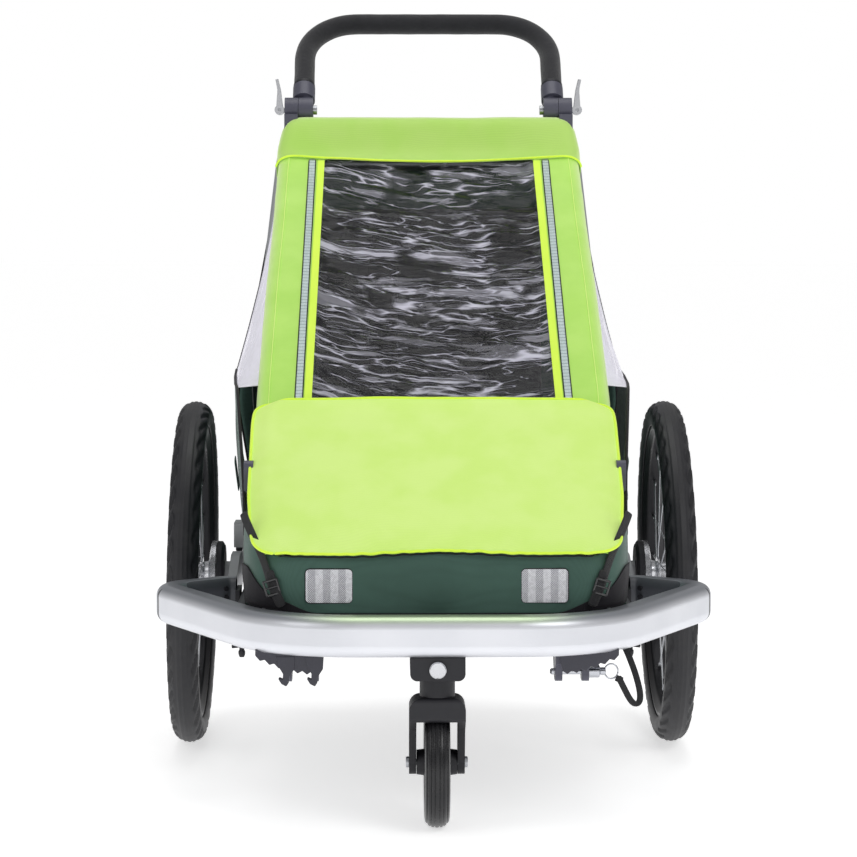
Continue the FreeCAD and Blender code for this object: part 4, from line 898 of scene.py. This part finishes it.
def rear_wall(green, dark, tape):
    """Closed back of the body, with a zipped pocket lid and a reflective strip."""
    low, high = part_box("rear_panel")
    pocket_half, pocket_foot, pocket_top = 0.165, 0.16, 0.52

    def at(x, v, lift=0.0):
        y = high.y - (high.y - low.y - 2.5 * MM) * v
        y += 6 * MM * math.cos(x / 0.25 * math.pi / 2) * crown(v) + lift
        y += 2 * MM * ripple((x, v * 0.6, 1), 0.11, 4.4)
        return Vector((x, y, low.z + (high.z - low.z) * v))

    def width(v):
        return between(v, (0, 0.34, 0.43, 0.5, 0.8, 1), (0.262, 0.296, 0.292, 0.276, 0.240, 0.207))

    def patch(name, v_from, v_to, rows, lift, material, thick):
        return surface(name, lambda u, v: at(u * pocket_half, v, lift), np.linspace(-1, 1, 30),
                       np.linspace(v_from, v_to, rows), material, thick=thick)

    wall = surface("rear_wall", lambda u, v: at(u * width(v), v), np.linspace(-1, 1, 44),
                   np.linspace(0, 1, 60), green, thick=1.6 * MM)
    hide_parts("rear_panel")
    pocket = patch("rear_pocket", pocket_foot, pocket_top, 24, 5 * MM, green, 2.2 * MM)
    across, up = np.linspace(-1, 1, 12), np.linspace(pocket_foot, pocket_top, 12)
    rim = outline(lambda u, v: at(u * pocket_half, v, 6 * MM), (across, pocket_foot), (1, up),
                  (across[::-1], pocket_top), (-1, up[::-1]))
    zip_line = cord("rear_zip", rim, 2.4, dark, 9 * MM)
    stripe = patch("rear_reflective_band", 0.42, 0.455, 3, 8.5 * MM, tape, 0.8 * MM)
    edge = outline(lambda u, v: at(u * width(v), v, 1 * MM), (-1, np.linspace(0, 1, 30)),
                   (np.linspace(-1, 1, 20), 1), (1, np.linspace(1, 0, 30)))
    piping = cord("rear_piping", edge, 2.4, dark, 6 * MM)
    return [wall, pocket, zip_line, stripe, piping]


# Seat


CHANNEL_DEPTH, CHANNEL_WIDTH = 4 * MM, 5 * MM
PUFF_PRESSURE, PUFF_CAP, PUFF_FRAMES, CUSHION_INSET = 4, 9 * MM, 20, 6 * MM


def bake(piece):
    """Applies a piece's modifiers to its mesh."""
    bpy.context.view_layer.update()
    graph = bpy.context.evaluated_depsgraph_get()
    baked = bpy.data.meshes.new_from_object(piece.evaluated_get(graph))
    old = piece.data
    piece.modifiers.clear()
    piece.data = baked
    baked.name = piece.name
    if not baked.materials:
        baked.materials.append(old.materials[0])
    baked.shade_smooth()


def places(mesh):
    return np.array([v.co for v in mesh.vertices])


def put_places(mesh, co):
    mesh.vertices.foreach_set("co", co.astype(np.float32).ravel())
    mesh.update()


def puff(piece):
    """Swells a closed mesh with cloth under pressure, each point moving no further than a cap."""
    modify(piece, "REMESH", mode="VOXEL", voxel_size=5.5 * MM)
    bake(piece)
    rest = places(piece.data)
    cloth = modify(piece, "CLOTH").settings
    cloth.use_pressure = True
    cloth.uniform_pressure_force = PUFF_PRESSURE
    cloth.quality = 4
    cloth.tension_stiffness = cloth.compression_stiffness = 20
    cloth.bending_stiffness = 1.5
    cloth.effector_weights.gravity = 0
    scene = bpy.context.scene
    for number in range(1, PUFF_FRAMES + 1):
        scene.frame_set(number)
    bake(piece)
    scene.frame_set(1)
    moved = places(piece.data) - rest
    reach = np.linalg.norm(moved, axis=1, keepdims=True)
    put_places(piece.data, rest + moved * np.minimum(1, PUFF_CAP / np.maximum(reach, 1e-9)))


def cushion(name, node, channels, material):
    """A padded cushion, from the CAD solid's shape made a little smaller. It swells between its
    sewn channels, each given by an axis and a place along it."""
    source = nodes[node].data.copy()
    source.materials.clear()
    piece = link(name, source, material, smooth=False)
    co = places(source)
    middle, size = (co.min(0) + co.max(0)) / 2, co.max(0) - co.min(0)
    put_places(source, middle + (co - middle) * (1 - 2 * CUSHION_INSET / size))
    puff(piece)
    mesh = piece.data
    normals = np.array([v.normal for v in mesh.vertices])
    co = places(mesh)
    for axis, place in channels:
        away = (co[:, axis] - place) / CHANNEL_WIDTH
        co -= normals * (CHANNEL_DEPTH * np.exp(-away ** 2))[:, None]
    put_places(mesh, co)
    modify(piece, "SUBSURF", levels=1, render_levels=1)
    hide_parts(node)
    return piece


def harness(strap, dark):
    """Shoulder straps over the backrest and lap straps to the buckle, with pads."""
    lean = math.radians(12.3)
    up = Vector((0, math.sin(lean), math.cos(lean)))
    out = Vector((0, -math.cos(lean), math.sin(lean)))
    foot = Vector((0, 0.234, 0.350))

    def band(name, run, width, thick, cloth, soft, across):
        return sweep(name, run, strap_section(width, thick), cloth, soft * MM, across)

    straps, loose = [], []
    for side, name in SIDES:
        def along(*stations):
            return [foot + up * a + out * b + X_AXIS * side * 0.069 for a, b in stations]

        straps.append(band(f"{name}_shoulder_strap", along(
            (0.425, 0.000), (0.418, 0.009), (0.33, 0.011), (0.20, 0.012), (0.09, 0.013)),
            34, 2.2, strap, 9, X_AXIS))
        straps.append(band(f"{name}_shoulder_pad", along((0.36, 0.016), (0.18, 0.017)), 46, 9, dark,
                           6, X_AXIS))
        lap = [(side * 0.165, 0.205, 0.352), (side * 0.10, 0.188, 0.362), (side * 0.026, 0.192, 0.376)]
        loose.append(band(f"{name}_lap_strap", lap, 24, 2.0, strap, 12, Vector((0, 0.5, 0.86))))
    crotch = [(0, 0.100, 0.350), (0, 0.150, 0.352), (0, 0.186, 0.358)]
    loose.append(band("crotch_strap", crotch, 26, 2.0, strap, 12, X_AXIS))
    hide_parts("harness_straps")
    return straps, loose


# Handle, wheels and small fittings


def grip(material, cap_material):
    """Foam grip with a clamp ring at each end."""
    tilt = math.radians(45.6)
    up = Vector((0, math.cos(tilt), math.sin(tilt)))
    hinge = Vector((0, 0.380, 0.932))
    half, start, reach, bend = 0.1905, 0.049, 0.196, 0.080
    corners = [hinge + up * start - X_AXIS * half]
    for k in range(13):
        angle = math.pi / 2 * k / 12
        corners.append(hinge + up * (reach - bend + bend * math.sin(angle))
                       - X_AXIS * (half - bend + bend * math.cos(angle)))
    corners += [Vector((-c.x, c.y, c.z)) for c in corners[::-1]]
    radius = min(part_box("handle_grip")[1].z - (hinge + up * reach).z, 16.9 * MM)
    tube = sweep("foam_grip", corners, ring_section(radius, 20), material, soft=5 * MM, step=5 * MM)
    for vertex in tube.data.vertices:
        vertex.co += Vector([ripple(vertex.co, 0.02, seed) for seed in (1, 2, 3)]) * 0.35 * MM
    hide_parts("handle_grip")
    rings = [lathe(f"{name}_grip_ring", [(-0.5, 15.0), (0, 16.6), (4.5, 16.6), (6, 15.6)],
                   hinge + up * (start + 0.5 * MM) + X_AXIS * side * half, up, cap_material)
             for side, name in SIDES]
    return [tube, *rings]


WHEEL_MIDDLE, CAMBER = Vector((0.347, 0.167, 0.24997)), math.radians(1)
CASING_RING, CASING_RADIUS, NIPPLE_SEAT, VALVE_SEAT = 226.5 * MM, 21.9 * MM, 201.2 * MM, 200.5 * MM


def wheel_point(side, angle, radius, along=0.0):
    """A point of a wheel: angle from straight up, radius, and distance outwards along its axle."""
    middle = Vector((side * WHEEL_MIDDLE.x, WHEEL_MIDDLE.y, WHEEL_MIDDLE.z))
    axis = Vector((side * math.cos(CAMBER), 0, math.sin(CAMBER)))
    up = (Z_AXIS - axis * axis.z).normalized()
    across = axis.cross(up)
    return middle + axis * along + (up * math.cos(angle) + across * math.sin(angle)) * radius


def ring_sheet(name, points, material):
    """A surface closed round a wheel: its last row lies on its first."""
    piece = sheet(name, points, material, thick=0, levels=0)
    clean(piece, weld=True)
    return piece


def tyre(side, name, material):
    """Road tyre: round casing with fine ribs along the tread and slanted blocks at each shoulder."""
    bead = math.radians(128)
    points = []
    for i, angle in enumerate(circle(240)):
        row = []
        for t in (-bead + 2 * bead * j / 43 for j in range(44)):
            radius = CASING_RADIUS
            spread = abs(math.degrees(t))
            if spread < 34:
                radius += 1.4 * MM * (0.5 + 0.5 * math.cos(math.radians(t * 57.3 * 22)))
            elif spread < 74:
                phase = (i + math.copysign(2.2, t) * (spread - 34) / 14) % 6
                radius += 1.6 * MM if phase < 3.6 else -1.4 * MM
            elif spread < 82:
                radius += 0.4 * MM
            row.append(wheel_point(side, angle, CASING_RING + radius * math.cos(t),
                                   radius * math.sin(t)))
        points.append(row)
    casing = ring_sheet(f"{name}_tyre", points + points[:1], material)
    modify(casing, "SOLIDIFY", thickness=2.2 * MM, offset=-1)
    casing.data.shade_smooth()
    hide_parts(f"{name}_wheel_tyre")
    return casing


def wheel_details(side, name, metal_finish, moulding):
    """Spoke nipples and a valve, all along a radius."""
    def inwards(part, angle, start, profile, material, sides):
        axis = wheel_point(side, angle, 0) - wheel_point(side, angle, 1)
        return lathe(f"{name}_{part}", profile, wheel_point(side, angle, start), axis, material, sides)

    nipples = [inwards("nipple", angle, NIPPLE_SEAT, [(0, 2.1), (5, 2.1), (11, 1.5)], metal_finish, 8)
               for angle in circle(20)]
    valve = inwards("valve", math.tau * 0.525, VALVE_SEAT,
                    [(0, 4.5), (2, 3.2), (24, 2.8), (25, 4.0), (33, 4.0), (34, 3)], moulding, 16)
    return [joined(f"{name}_spoke_nipples", nipples), valve]


def caster_tread(material):
    """Caster tyre with a rounded tread and two fine grooves."""
    low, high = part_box("caster_tyre")
    middle = (low + high) / 2
    outer, half, inner = (high.z - low.z) / 2, (high.x - low.x) / 2, 62.1 * MM
    tread = []
    for t in (-1 + 2 * k / 64 for k in range(65)):
        rise = outer - 13 * MM * (1 - math.sqrt(max(0, 1 - abs(t) ** 2.6)))
        groove = 1.3 * MM if 0.14 < abs(t) % 0.30 < 0.22 else 0
        tread.append((t * half, rise - groove))
    bead = [(half * 0.94, inner + 5 * MM), (half * 0.8, inner)]
    profile = [(-a, r) for a, r in bead[::-1]] + tread + bead
    points = [[middle + X_AXIS * a + (Z_AXIS * math.cos(w) - Y_AXIS * math.sin(w)) * r
               for a, r in profile] for w in circle(96, 1)]
    piece = ring_sheet("caster_tread", points, material)
    piece.data.shade_smooth()
    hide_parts("caster_tyre")
    return piece


def ribbed_pad(side, name, material):
    """Elastomer spring block with ribs."""
    low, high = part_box("suspension_pads")
    middle_x, middle_y = side * 0.2845, (low.y + high.y) / 2
    points = []
    for t in np.linspace(0, 1, 41):
        squeeze = 0.5 + 0.5 * math.cos(t * 5 * math.tau)
        ring = []
        for w in circle(32):
            c, s = math.cos(w), math.sin(w)
            a = math.copysign(abs(c) ** 0.35, c) * (5.2 * MM - 1.2 * MM * squeeze)
            b = math.copysign(abs(s) ** 0.35, s) * (14 * MM - 1.6 * MM * squeeze)
            ring.append((middle_x + a, middle_y + b, low.z + 0.2 * MM + t * (high.z - low.z) * 0.99))
        points.append(ring)
    pad = sheet(f"{name}_spring_pad", points, material, thick=0, levels=0, loop=True)
    clean(pad, fill=True)
    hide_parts("suspension_pads")
    return pad


def tower_cover(side, name, material):
    """Grey cover in front of a spring block, clear of the arm that moves under it."""
    low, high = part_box("suspension_towers")
    middle = Vector((side * (high.x - 14.5 * MM), low.y - 2.6 * MM, high.z - 18 * MM))
    return block(f"{name}_tower_cover", middle, (28 * MM, 4 * MM, 34 * MM), material, 1.2 * MM)


def lanyard(strap, chrome):
    """Ring on the hitch pin and its webbing loop, sewn to the floor frame."""
    low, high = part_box("hitch_pin")
    end = Vector((high.x, (low.y + high.y) / 2, (low.z + high.z) / 2))
    rim = [end + Vector((-2 * MM + 9.5 * MM * (1 + math.cos(a)) * 0.9, 0, 9.5 * MM * math.sin(a)))
           for a in circle(28, 1)]
    ring = cord("pin_ring", rim, 1.2, chrome, 0, step=2 * MM, across=Y_AXIS)
    run = [end + Vector(p) * MM for p in (
        (15, 0, -6), (22, -1, -20), (31, -2, -38), (38, -2, -46), (43, -2, -43), (44, -1, -30),
        (38, 4, -5), (28, 12, 22), (20, 20, 38))]
    flat = [(b, a) for a, b in strap_section(8.5, 1.5)]
    loop = sweep("pin_lanyard", run, flat, strap, soft=7 * MM, across=Vector((0.25, 0.95, 0)))
    stitched = block("lanyard_crimp", end + Vector((16.5, -0.5, -10)) * MM,
                     (9 * MM, 3 * MM, 8 * MM), strap, 0.8 * MM, Matrix.Rotation(0.4, 3, "Y"))
    return ring, loop, stitched


def peg(side, name, material):
    """T-shaped tensioner peg under the bumper's side."""
    middle = Vector((side * 0.2470, -0.3930, bumper_low.z - 0.3 * MM))
    stem = lathe(f"{name}_peg_stem", [(0, 3.2), (9, 3.2), (10, 4.4), (14, 4.4), (18, 3)], middle,
                 -Z_AXIS, material, 16)
    wing = block(f"{name}_peg_wing", middle - Z_AXIS * 3 * MM, (26 * MM, 7 * MM, 4.5 * MM),
                 material, 1.6 * MM, Matrix.Rotation(side * 0.12, 3, "Y"))
    return joined(f"{name}_peg", [stem, wing])


def extruded(name, shape, front, depth, material):
    """A plate across the trailer: shape is (x, z) points, from y front backwards by depth."""
    count = len(shape)
    points = [(x, y, z) for y in (front, front + depth) for x, z in shape]
    faces = [tuple(range(count)), tuple(range(2 * count - 1, count - 1, -1))]
    faces += [(k, count + k, count + (k + 1) % count, (k + 1) % count) for k in range(count)]
    plate = from_faces(name, points, faces, material, smooth=False)
    clean(plate, split=True)
    modify(plate, "BEVEL", width=0.8 * MM, segments=2, limit_method="ANGLE")
    return plate


def hitch_claws(material):
    """Toothed rail under the bumper at each hitch receiver, and two claws on the free one."""
    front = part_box("hitch_receivers")[0].y - 9 * MM
    top = bumper_low.z + 4 * MM
    inner, outer, drop, steps = 0.150, 0.226, 20 * MM, 12
    made = []
    for side, name in SIDES:
        shape = [(side * inner, top), (side * outer, top)]
        for k in range(steps + 1):
            x = outer + (inner + 6 * MM - outer) * k / steps
            z = top - 8 * MM - drop * math.sin(k / steps * math.pi / 2) - (4 * MM if k % 2 else 0)
            shape.append((side * x, z))
        made.append(extruded(f"{name}_toothed_rail", shape, front, 8 * MM, material))
    claw = ((12, 222), (-12, 222), (-11, 206), (-5, 197), (-4, 189), (-1, 184.5), (5, 187.5),
            (9, 194), (7.5, 195.5), (3.5, 193.5), (3, 200), (8, 208.5))
    for number, x in enumerate((0.1885, 0.1530)):
        shape = [(-x - a * MM, z * MM) for a, z in claw]
        made.append(extruded(f"hitch_claw_{number}", shape, front - 1 * MM, 9 * MM, material))
    return made


def brake_cable(side, name, material):
    run = [(side * 0.030, 0.435, 0.232), (side * 0.120, 0.410, 0.232),
           (side * 0.225, 0.330, 0.230), (side * 0.268, 0.235, 0.226)]
    return cord(f"{name}_brake_cable", run, 2.4, material, 25 * MM, step=8 * MM)


def reflector_rim(side, name, dark):
    """Rim round a front reflector."""
    low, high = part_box("front_reflectors")
    width, corner = 58 * MM, 5 * MM
    left, right = high.x - width + corner, high.x - corner
    foot, top = low.z + corner, high.z - corner
    line = [Vector((side * (x + corner * math.cos(angle)), low.y + 1.8 * MM,
                    z + corner * math.sin(angle)))
            for k, (x, z) in enumerate(((left, foot), (right, foot), (right, top), (left, top)))
            for angle in (math.pi + math.pi / 2 * (k + q / 5) for q in range(6))]
    return cord(f"{name}_reflector_rim", line + line[:1], 1.5, dark, 0, step=2 * MM,
                across=Y_AXIS)


# Stage


AMBIENT, FLOOR_GLOW, FLOOR_HALF = 0.42, 0.60, 60
CAMERA_PLACE, CAMERA_AIM = (-0.056, -3.929, 0.752), Vector((0.01306, 1, -0.0714))
CAMERA_LENS, CAMERA_SENSOR = 117.8, 36


def aimed(thing, place, direction):
    thing.location = place
    thing.rotation_euler = direction.to_track_quat("-Z", "Y").to_euler()
    bpy.context.scene.collection.objects.link(thing)
    return thing


def studio():
    """Pale floor, white surroundings, four soft lamps, and the camera before the trailer."""
    scene = bpy.context.scene
    scene.view_settings.view_transform = "Standard"
    scene.world = bpy.data.worlds.new("studio")
    scene.world.use_nodes = True
    tree = scene.world.node_tree
    background = tree.nodes["Background"]
    background.inputs["Color"].default_value = (1, 1, 1, 1)
    seen = tree.nodes.new("ShaderNodeLightPath").outputs["Is Camera Ray"]
    strength = tree.nodes.new("ShaderNodeMapRange")
    strength.inputs["To Min"].default_value = AMBIENT
    tree.links.new(seen, strength.inputs["Value"])
    tree.links.new(strength.outputs[0], background.inputs["Strength"])
    n = Nodes("studio_floor")
    n.set(Base_Color=n.mix(n.noise(800, 2), (0.93, 0.93, 0.93, 1), (0.95, 0.95, 0.95, 1)),
          Roughness=0.6, Specular_IOR_Level=0.2, Emission_Color=(1, 1, 1, 1),
          Emission_Strength=FLOOR_GLOW)
    ends = (-FLOOR_HALF, 0, FLOOR_HALF)
    surface("studio_floor", lambda x, y: (x, y, 0), ends, ends, n.material, thick=0,
                     levels=0)
    for name, place, height, size, power in (
        ("key", (1.7, -2.6, 2.5), 0.5, 1.6, 24),
        ("fill", (-2.2, -2.2, 1.9), 0.5, 1.6, 8),
        ("top", (0, 0.2, 3.0), 0.4, 2.2, 22),
        ("low", (0, -3.2, 0.5), 0.4, 1.4, 2),
    ):
        data = bpy.data.lights.new(name, "AREA")
        data.shape = "DISK"
        data.size, data.energy = size, power
        aimed(bpy.data.objects.new(name, data), place, Vector((0, 0, height)) - Vector(place))
    data = bpy.data.cameras.new("camera")
    data.lens, data.sensor_width = CAMERA_LENS, CAMERA_SENSOR
    scene.camera = aimed(bpy.data.objects.new("camera", data), CAMERA_PLACE, CAMERA_AIM)


# The whole trailer


# The third lime is a paler colour painted at grazing angles, a painted rim highlight.
LIME, LIME_DEEP, LIME_PAINTED_RIM_LIGHT = srgb(188, 236, 104), srgb(168, 224, 80), srgb(226, 250, 172)
GREEN = srgb(66, 96, 86)

# The lime cloths and the binding glow a little, a painted glow.
lime = fabric("lime_cloth", LIME, LIME_DEEP, painted_glow=0.03, rim=LIME_PAINTED_RIM_LIGHT)
flap_cloth = fabric("lime_flap_cloth", srgb(220, 252, 138), srgb(206, 246, 108), painted_glow=0.04,
                    rim=srgb(226, 255, 120))
hood_cloth = fabric("lime_hood_cloth", srgb(184, 222, 112), srgb(170, 220, 88), painted_glow=0.02,
                    rim=LIME_PAINTED_RIM_LIGHT)
binding = fabric("lime_binding", srgb(220, 252, 74), srgb(208, 248, 60), pitch=0.6 * MM, painted_glow=0.10)
green = fabric("green_cloth", GREEN, tinted(GREEN, 0.75), rough=0.7, spec=0.25)
pad_cloth = fabric("cushion_cloth", srgb(30, 30, 34), srgb(24, 24, 28), pitch=2.8 * MM,
                   relief=0.06 * MM)
trim = fabric("black_trim", srgb(30, 28, 33), pitch=0.8 * MM, rough=0.65, sheen=0.05, spec=0.2)
strap = webbing("black_webbing", srgb(22, 22, 26))
tape = reflective("reflective_tape")
side_film = clear_film("side_film", srgb(232, 230, 240), 0.62)
window = window_film("window_film")
black = plastic("black_moulding", srgb(30, 30, 35), 0.5, sheen=0.4)
gloss_black = plastic("glossy_black_moulding", srgb(20, 20, 24), 0.18, relief=0.03 * MM, sheen=0.7)
slate_dark = plastic("dark_slate_moulding", srgb(52, 52, 62), 0.42)
steel = metal("zinc_steel", srgb(176, 178, 182), 0.32, soft=0.4 * MM)
chrome = metal("chrome", srgb(186, 188, 194), 0.16, worn=0.10)
grey_paint = metal("grey_powder_coat", srgb(190, 191, 194), 0.55, soft=0.8 * MM, metallic=0.15,
                   relief=0.06 * MM)
tyre_rubber = rubber("tyre_rubber", srgb(33, 33, 37), 0.55)
caster_rubber = rubber("caster_rubber", srgb(25, 25, 28), 0.32, dust=0.06)

finishes = {
    "silver_bumper": bumper_metal("satin_bumper"), "clear_lens": prismatic("prismatic_lens"),
    "frame_metal": metal("frame_powder_coat", srgb(60, 62, 65), 0.55, metallic=0.1,
                         relief=0.05 * MM),
    "hoop_metal": metal("hoop_aluminium", srgb(168, 170, 174), 0.36, streak=(1, 1, 0.08)),
    "hub_silver": metal("hub_silver", srgb(200, 201, 205), 0.26, soft=0.5 * MM),
    "black_rim": metal("black_rim", srgb(38, 38, 41), 0.35, metallic=0.6),
    "slate_plastic": plastic("slate_moulding", srgb(74, 74, 88), 0.42),
    "bracket_grey": grey_paint, "steel": steel, "chrome": chrome, "black_plastic": black,
    "tyre_rubber": tyre_rubber, "caster_rubber": caster_rubber, "elastomer": caster_rubber,
    "grip_foam": black, "cushion_fabric": pad_cloth, "webbing": strap, "green_fabric": green,
    "lime_fabric": lime, "clear_film": side_film,
}
for row in frame["record"]["subparts"]:
    mesh = nodes[row["node"]].data
    finish = finishes[row["material_slot"]]
    if not mesh.materials:
        mesh.materials.append(finish)
    for k in range(len(mesh.materials)):
        mesh.materials[k] = finish


def fold(pieces):
    """Fabric that hangs between the floor frame and the rear hoop; bakes each piece's placement into
    its mesh.
    """
    for piece in pieces:
        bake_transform(piece)


def ride(pieces, body):
    for piece in pieces:
        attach(piece, body)


fold([rain_cover(lime)])
fold(cover_trims(binding, flap_cloth, tape, trim))
fold(hood(hood_cloth, binding))
fold(front_flap(flap_cloth, binding, trim))
fold([film(window)])
fold(side_panels(green, trim))
fold(side_windows(side_film, trim))
fold(rear_wall(green, trim, tape))
ride(front_wall(green, trim), "root")
ride(corner_straps(strap, gloss_black), "root")
base = cushion("seat_pad", "seat_cushion", [(0, -0.09), (0, 0.09), (1, 0.10)], pad_cloth)
back = cushion("back_pad", "back_cushion",
               [(0, -0.115), (0, 0.115), (2, 0.47), (2, 0.59), (2, 0.71)], pad_cloth)
ride([base], "root")
fold([back])
shoulder, lap = harness(strap, trim)
fold(shoulder)
ride(lap, "root")
ride(grip(foam("grip_foam"), black), "handle")
for side, name in SIDES:
    ride([tyre(side, name, tyre_rubber)], f"{name}_wheel")
    ride(wheel_details(side, name, steel, black), f"{name}_wheel")
    pad = ribbed_pad(side, name, caster_rubber)
    ride([pad], "root")
    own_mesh(pad)
    ride([tower_cover(side, name, grey_paint)], "root")
    ride([peg(side, name, black), brake_cable(side, name, black), reflector_rim(side, name, black)],
         "root")
ride([caster_tread(caster_rubber)], "caster_wheel")
pin_ring, pin_loop, crimp = lanyard(strap, chrome)
ride([pin_ring, crimp], "hitch_pin")
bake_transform(pin_loop)
ride(hitch_claws(slate_dark), "root")

studio()
